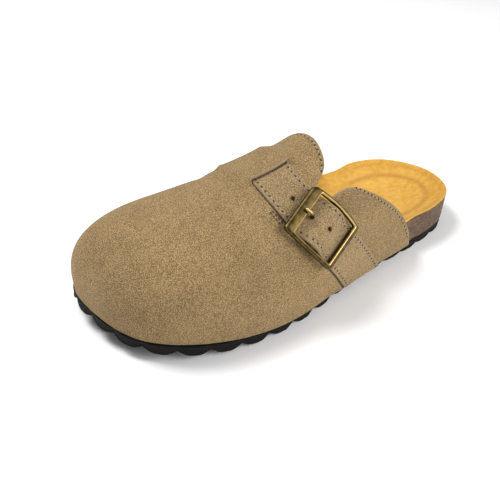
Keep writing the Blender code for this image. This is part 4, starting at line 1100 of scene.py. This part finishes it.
strap_way, strap_low = strap_path()
strap_points, strap_faces, strap_cut = belt_form(strap_way, strap_low)
hole_ways = [PIN_PLACE + (PRONG_HOLE + step * HOLE_PITCH) / WAY_SCALE for step in (1, -1)]
hole_middles = [strap_point(0.0, way, strap_top(way)) for way in hole_ways]
hole_near = np.min([np.linalg.norm(strap_points - middle, axis=1) for middle in hole_middles], axis=0)


def belt_marks(cut, painted_shade):
    """Numbers that the suede of a strap reads: paler along its cut edges, and dark with painted shade where
    the given share of shade says so.
    """
    return {"inside": np.zeros(len(cut)), "cut_edge": 1 - smooth((cut - 0.0003) / 0.0008), "painted_shade": painted_shade}


strap_suede = Suede("strap_suede_nap", (0.318, 0.220, 0.110), (0.255, 0.175, 0.086), 0.35)
# Painted shade in and around the two punched holes, fading out about 2.3 mm from their middles.
strap_marks = belt_marks(strap_cut, 0.85 * (1 - smooth((hole_near - 0.0011) / 0.0012)))
strap_piece = surface(
    "strap_suede_double", strap_points, strap_faces, strap_suede, "strap_suede", strap_marks,
    sharp=60, node="strap",
)
for hole_way in hole_ways:
    punch(strap_piece, hole_way)


# The anchor strap: a short piece of the same suede, held between footbed and quarter, that comes up
# the outer side, loops round the buckle's pin and is sewn along both edges.
def anchor_form():
    """Strap between two paths up the quarter and round the pin, its two long edges rounded."""
    flat = np.append(np.linspace(0.0, 0.33, 40), PIN_PLACE - 0.5 * LOOP_RADIUS / WAY_SCALE)
    turn = np.radians(np.arange(-90, 181, 15))
    low, high = (
        np.stack([
            np.append(flat, PIN_PLACE + np.cos(turn) * radius / WAY_SCALE),
            np.append(0 * flat + level, PIN_LEVEL + np.sin(turn) * radius),
        ])
        for level, radius in ((ANCHOR_UNDER, LOOP_RADIUS), (ANCHOR_TOP, PIN_RADIUS + GAP))
    )
    t, edge, round_edge, seam = belt_profile(0.0007)
    middle, half = (low + high) / 2, (high - low) / 2
    top = strap_point(t, middle[0] + half[0] * round_edge, middle[1] + half[1] * (round_edge - seam))
    under = strap_point(t, middle[0] - half[0] * round_edge, middle[1] - half[1] * round_edge)
    return *belt_skin(top, under), np.repeat(edge, 2 * low.shape[1], axis=1).ravel()


anchor_suede = Suede("anchor_suede_nap", (0.318, 0.220, 0.110), (0.255, 0.175, 0.086), 0.35)
anchor_points, anchor_faces, anchor_cut = anchor_form()
surface(
    "anchor_strap_suede", anchor_points, anchor_faces, anchor_suede, "anchor_suede",
    belt_marks(anchor_cut, 0 * anchor_cut), sharp=60, node="anchor_strap",
)

# The buckle: cast zinc, plated brass and aged: dark in the hollows, rubbed bright along the edges, the bars'
# inner top edges also given a painted highlight while their outer faces stay dark.
# One wide bar takes the prong's tip, the sides are bowed, and a pin crosses its middle.
END_BAR = 0.0040
SIDE_BAR = 0.0024
BUCKLE_BOW = 0.0012
BUCKLE_CORNER = 0.0025
INNER_CORNER = 0.0010
ROD_SIDES = 20
BUCKLE_BEVEL = 0.0006


def buckle_outline(bars, radius, inset):
    """Rounded four-sided line in the buckle's plane: four arcs and the straight runs between them."""
    low = -BUCKLE_LENGTH / 2 + bars[0] + inset
    high = BUCKLE_LENGTH / 2 - bars[1] - inset
    wide = BUCKLE_WIDTH / 2 - bars[2] - inset
    arcs = []
    for k, (a, f) in enumerate(((high, wide), (low, wide), (low, -wide), (high, -wide))):
        turn = QUARTER_TURN * (k + np.arange(9) / 8)
        middle = np.array((a - math.copysign(radius, a), f - math.copysign(radius, f)))
        arcs.append(middle + radius * np.stack([np.cos(turn), np.sin(turn)], axis=1))
    share = np.linspace(0, 1, 18)[1:-1, None]
    runs = [arc[-1] + (after[0] - arc[-1]) * share for arc, after in zip(arcs, arcs[1:] + arcs[:1])]
    return np.concatenate([part for pair in zip(arcs, runs) for part in pair])


def buckle_form():
    """Frame as a closed profile carried round its outline, bent and twisted to lie on the instep.

    A row of the profile has the bars' widths, how far it lies inside the outline, its level and its share of
    rubbed wear and painted highlight."""
    outer, inner = (0, 0, 0), (GRIP_BAR, END_BAR, SIDE_BAR)
    low, high, bevel = FRAME_UNDER, FRAME_UNDER + BUCKLE_THICKNESS, BUCKLE_BEVEL
    # The last number of each row: rubbed wear with a painted highlight, high on the inner top bevel and low
    # on the outer faces.
    profile = (
        (outer, 0.0003, low, 0.0), (outer, 0.0, low + 0.0003, 0.0), (outer, 0.0, high - 2.2 * bevel, 0.0),
        (outer, 0.2 * bevel, high - 1.6 * bevel, 0.2), (outer, 0.8 * bevel, high - 0.8 * bevel, 0.05),
        (outer, 1.6 * bevel, high - 0.15 * bevel, 0.06), (outer, 2.0 * bevel, high, 0.05),
        (inner, -1.7 * bevel, high, 0.12), (inner, -1.1 * bevel, high - 0.1 * bevel, 1.0),
        (inner, -0.3 * bevel, high - 0.8 * bevel, 0.9), (inner, 0.0, high - 1.6 * bevel, 0.1),
        (inner, 0.0, low + 0.0003, 0.0), (inner, -0.0003, low, 0.0),
    )
    loops = []
    for bars, inset, level, _ in profile:
        along, front = buckle_outline(bars, BUCKLE_CORNER if bars == outer else INNER_CORNER, inset).T
        share = along / (BUCKLE_LENGTH / 2)
        front = front + np.sign(front) * BUCKLE_BOW * np.clip(1 - share**2, 0, 1)
        loops.append(buckle_point(along, front, level - FRAME_BEND * share**2))
    rings = np.stack(loops, axis=1)
    wear_and_highlight = np.broadcast_to([row[3] for row in profile], rings.shape[:2])
    return rings, grid_faces(*rings.shape[:2], True, True), wear_and_highlight


def rod_form(path, radii):
    """Round rod: circles square to a path given in the buckle's plane, with closed ends."""
    way = unit(np.gradient(path, axis=0))
    turn = round_turn(ROD_SIDES)
    radii = radii[:, None]
    along = path[:, :1] - way[:, 1:] * np.cos(turn) * radii
    out = path[:, 1:] + way[:, :1] * np.cos(turn) * radii
    return buckle_point(along, np.sin(turn) * radii, out), rod_faces(len(path), ROD_SIDES)


brass = Finish("aged_brass", 0.34, Metallic=1.0)
patina = brass.noise(0.0035, 4.0, 0.6)
scratch = brass.noise(0.0009, 3.0, 0.6, brass.stretched(1.0, 0.3, 1.0))
# Rubbed brass: worn bare on edges, and a painted highlight on the bars' inner top edges where they catch the
# light.
rubbed_and_highlight = (brass.mark("rubbed_and_highlight") * (0.75 + 0.5 * patina)).at_most(1.0)
tone = brass.mix(patina.ramp(0.32, 0.68), (0.016, 0.010, 0.0035, 1), (0.085, 0.056, 0.018, 1))
tone = brass.mix(scratch.ramp(0.55, 0.75) * 0.4, tone, (0.012, 0.008, 0.003, 1))
brass.paint("Base Color", brass.mix(rubbed_and_highlight, tone, (0.560, 0.405, 0.150, 1)))
brass.paint("Roughness", 0.46 - 0.18 * rubbed_and_highlight + 0.12 * scratch)
brass.relief(scratch * 0.5 + patina * 0.5, 0.00008)
rings, faces, wear_and_highlight = buckle_form()
surface("buckle_frame", rings, faces, brass, "antique_brass", {"rubbed_and_highlight": wear_and_highlight}, sharp=40, node="buckle")
pin_reach = BUCKLE_WIDTH / 2 + BUCKLE_BOW - SIDE_BAR + 0.0008
pin_turn = round_turn(24)
pin_front = np.linspace(-pin_reach, pin_reach, 20)[:, None]
pin_rings = buckle_point(
    np.cos(pin_turn) * PIN_RADIUS + 0 * pin_front, pin_front, PIN_LEVEL + np.sin(pin_turn) * PIN_RADIUS
)
surface("buckle_pin", pin_rings, rod_faces(20, 24), brass, "antique_brass", {"rubbed_and_highlight": np.full(480, 0.15)})

# The prong: a bent brass wire with an eye round the pin. It comes up through the strap's hole just
# beyond the wide bar's inner edge and rests its blunt tip on the bar.
PRONG_BEND = 0.0078
PRONG_SAG = 0.0010
half_length = BUCKLE_LENGTH / 2
grip = half_length - GRIP_BAR
bar_top = FRAME_UNDER + BUCKLE_THICKNESS + GAP + PRONG_RADIUS - FRAME_BEND * (grip / half_length)**2
prong_stops = np.array((
    (-(PIN_RADIUS + GAP + PRONG_RADIUS / 2), PIN_LEVEL), (-PRONG_BEND, PIN_LEVEL - PRONG_SAG),
    (-grip + 0.0008, bar_top + 0.0002), (-half_length + 0.0018, bar_top - 0.0006),
))
prong_way = run_along(prong_stops)
fine_way = np.linspace(0, prong_way[-1], 46)
window = np.linspace(-0.0011, 0.0011, 9)
spread = np.clip(fine_way[:, None] + window, 0, prong_way[-1])
prong_path = np.stack([np.interp(spread, prong_way, prong_stops[:, k]).mean(1) for k in (0, 1)], axis=1)
prong_radii = PRONG_RADIUS * np.sqrt(1 - np.clip((fine_way - prong_way[-1] + 0.0009) / 0.00092, 0, 1)**2)
prong_points, prong_faces = rod_form(prong_path, prong_radii * (1.0 + 0.12 * np.cos(fine_way * 700)))
rub = np.repeat(smooth((fine_way - 0.6 * prong_way[-1]) / 0.003), ROD_SIDES) * 0.7
surface("prong_wire", prong_points, prong_faces, brass, "prong_brass", {"rubbed_and_highlight": rub}, node="prong")
eye_turn = round_turn(32)[:, None]
tube_turn = round_turn(12)[None, :]
eye_radius = PIN_RADIUS + GAP + PRONG_RADIUS / 2 + np.cos(tube_turn) * PRONG_RADIUS / 2
eye_front = np.sin(tube_turn) * PRONG_RADIUS * 0.9 + 0 * eye_turn
eye_rings = buckle_point(np.cos(eye_turn) * eye_radius, eye_front, PIN_LEVEL + np.sin(eye_turn) * eye_radius)
eye_marks = {"rubbed_and_highlight": np.full(eye_rings.shape[:2], 0.2)}
surface("prong_eye", eye_rings, grid_faces(32, 12, True, True), brass, "prong_brass", eye_marks)


# The seams: thread of the suede's own colour in short stitches, each between two needle holes drawn as dark
# lenses of painted shade.
# They run along the tab's edge, the quarters' edges and both edges of the straps.
STITCH_PITCH = 0.0036
STITCH_LENGTH = 0.0025
THREAD_RADIUS = 0.00038
NEEDLE_RADIUS = 0.00052
SEAM_INSET = 0.0026
BARTACK_PITCH = 0.0023
QUARTER_HEIGHT = 0.085

thread = Finish("taupe_thread", 0.7, Sheen_Weight=0.2)
twist = thread.noise(0.0004, 2.0)
thread.paint("Base Color", thread.mix(twist, (0.40, 0.295, 0.175, 1), (0.28, 0.200, 0.110, 1)))
thread.relief(twist, 0.0001)
# Painted shade: the needle holes are not cut, and near-black lenses stand in for the shade inside them.
needle_hole_shade_finish = Finish("needle_hole_painted_shade", 0.9)
needle_hole_shade_finish.paint("Base Color", needle_hole_shade_finish.mix(needle_hole_shade_finish.noise(0.001), (0.022, 0.014, 0.008, 1), (0.040, 0.026, 0.015, 1)))


def seam_line(point, across_share, way, level):
    """Points of a line on the last or on a strap, and the directions outward there."""
    place = point(across_share, way, level)
    return place, point(across_share, way, level + 0.001) - place


def along_seam(line, pitch, shift, spread=0.0):
    """Places at even pitches along a line, with the directions outward, onward and sideways there. Each is
    shifted by a share of the pitch and may be spread to several places by their distances."""
    way = run_along(line[0])
    count = max(1, int(way[-1] / pitch))
    at = (way[-1] - count * pitch) / 2 + pitch * np.arange(shift, count + 1 - shift)
    if np.ndim(spread):
        at = at[:, None] + spread
    place, out = (np.stack([np.interp(at, way, part[:, k]) for k in range(3)], axis=-1) for part in line)
    out, onward = unit(out), unit(np.gradient(place, axis=at.ndim - 1))
    return place, out, onward, np.cross(onward, out)


def stitches(name, line, slot):
    """Row of short capsules along a line, both ends dipped into the suede."""
    t = np.linspace(-0.5, 0.5, 7)
    parts = along_seam(line, STITCH_PITCH, 0.5, t * STITCH_LENGTH)
    place, out, _, sideways = (part[:, :, None] for part in parts)
    turn = round_turn(6)[:, None]
    fat = (THREAD_RADIUS * np.sqrt(np.maximum(1 - (2 * np.abs(t))**4, 0.01)))[:, None, None]
    dip = (0.00005 - 1.6 * THREAD_RADIUS * (2 * np.abs(t))**3)[:, None, None]
    ring = place + out * (dip + fat * np.cos(turn)) + sideways * fat * np.sin(turn)
    surface(name, ring, rod_faces(7, 6, len(place)), thread, slot, sharp=80)


def needle_holes(name, line, slot, lift=0.00012, pitch=STITCH_PITCH):
    """Shallow dark lenses at the ends of the stitches, one between each two: painted shade standing in for
    the needle holes.
    """
    place, out, onward, sideways = (part[:, None, None] for part in along_seam(line, pitch, 0))
    turn = round_turn(8)[:, None]
    tilt = np.linspace(-1, 1, 5)[:, None, None]
    wide = NEEDLE_RADIUS * np.sqrt(np.maximum(1 - tilt**2, 0.02))
    ring = place + out * (lift + 0.00012 * tilt) + sideways * wide * np.sin(turn)
    ring = ring + onward * 1.35 * wide * np.cos(turn)
    surface(name, ring, rod_faces(5, 8, len(place)), needle_hole_shade_finish, slot, sharp=80)


def seam(name, line, slot):
    """Stitches and the needle holes between them."""
    stitches(name + "_thread", line, slot)
    needle_holes(name + "_holes", line, slot)


tab_way = np.linspace(0.74, 1.44, 80)
tab_u = spline(TAB_EDGE, 1, tab_way) + SEAM_INSET / RIMS[0][2]
seam("tab_edge", seam_line(last_point, tab_u, tab_way, UPPER_WALL), "taupe_suede")
for side, table in enumerate(QUARTER_EDGES):
    edge_u, edge_v = quarter_edge(table, np.linspace(0, 1, 60))
    onward = unit(np.stack([np.gradient(edge_u) * RIMS[0][2], np.gradient(edge_v) * QUARTER_HEIGHT], axis=-1))
    seam_u = edge_u + SEAM_INSET * onward[:, 1] / RIMS[0][2]
    seam_v = edge_v - SEAM_INSET * onward[:, 0] / QUARTER_HEIGHT
    keep = seam_v > 0.03
    ways = (seam_v if side == 0 else 2 - seam_v)[keep]
    name = ("outer", "inner")[side] + "_quarter_edge"
    seam(name, seam_line(last_point, seam_u[keep], ways, UPPER_WALL), "taupe_suede")
for edge, label in ((-1, "rear"), (1, "front")):
    share = edge * (1 - 2 * SEAM_FROM_EDGE / STRAP_WIDTH)
    for part, start, end in (("upper", 0.92, STRAP_END + 0.02), ("inner", STRAP_START - 0.02, 1.32)):
        ways = np.linspace(start, end, 90)
        line = seam_line(strap_point, share, ways, strap_top(ways) - 0.0002)
        seam(f"strap_{label}_{part}", line, "strap_suede")
    ways = np.linspace(0.005, 0.30, 60)
    seam(f"anchor_{label}", seam_line(strap_point, share, ways, ANCHOR_TOP - 0.00015), "anchor_suede")
# The bartack: two rows of needle holes ahead of the strap's front edge, drawn as the same lenses of painted
# shade.
ways = np.linspace(0.612, 0.700, 20)
for ahead in (0.0017, 0.0034):
    line = seam_line(last_point, strap_line(ways, HALF_CUT + ahead), ways, UPPER_WALL + 0.0011)
    needle_holes(f"bartack_{round(1e4 * ahead)}_holes", line, "taupe_suede", 0.0, BARTACK_PITCH)
end_way = STRAP_START - 0.028
end_line = seam_line(strap_point, np.linspace(-0.82, 0.82, 30), end_way, strap_top(end_way) - 0.0002)
seam("strap_square_end", end_line, "strap_suede")
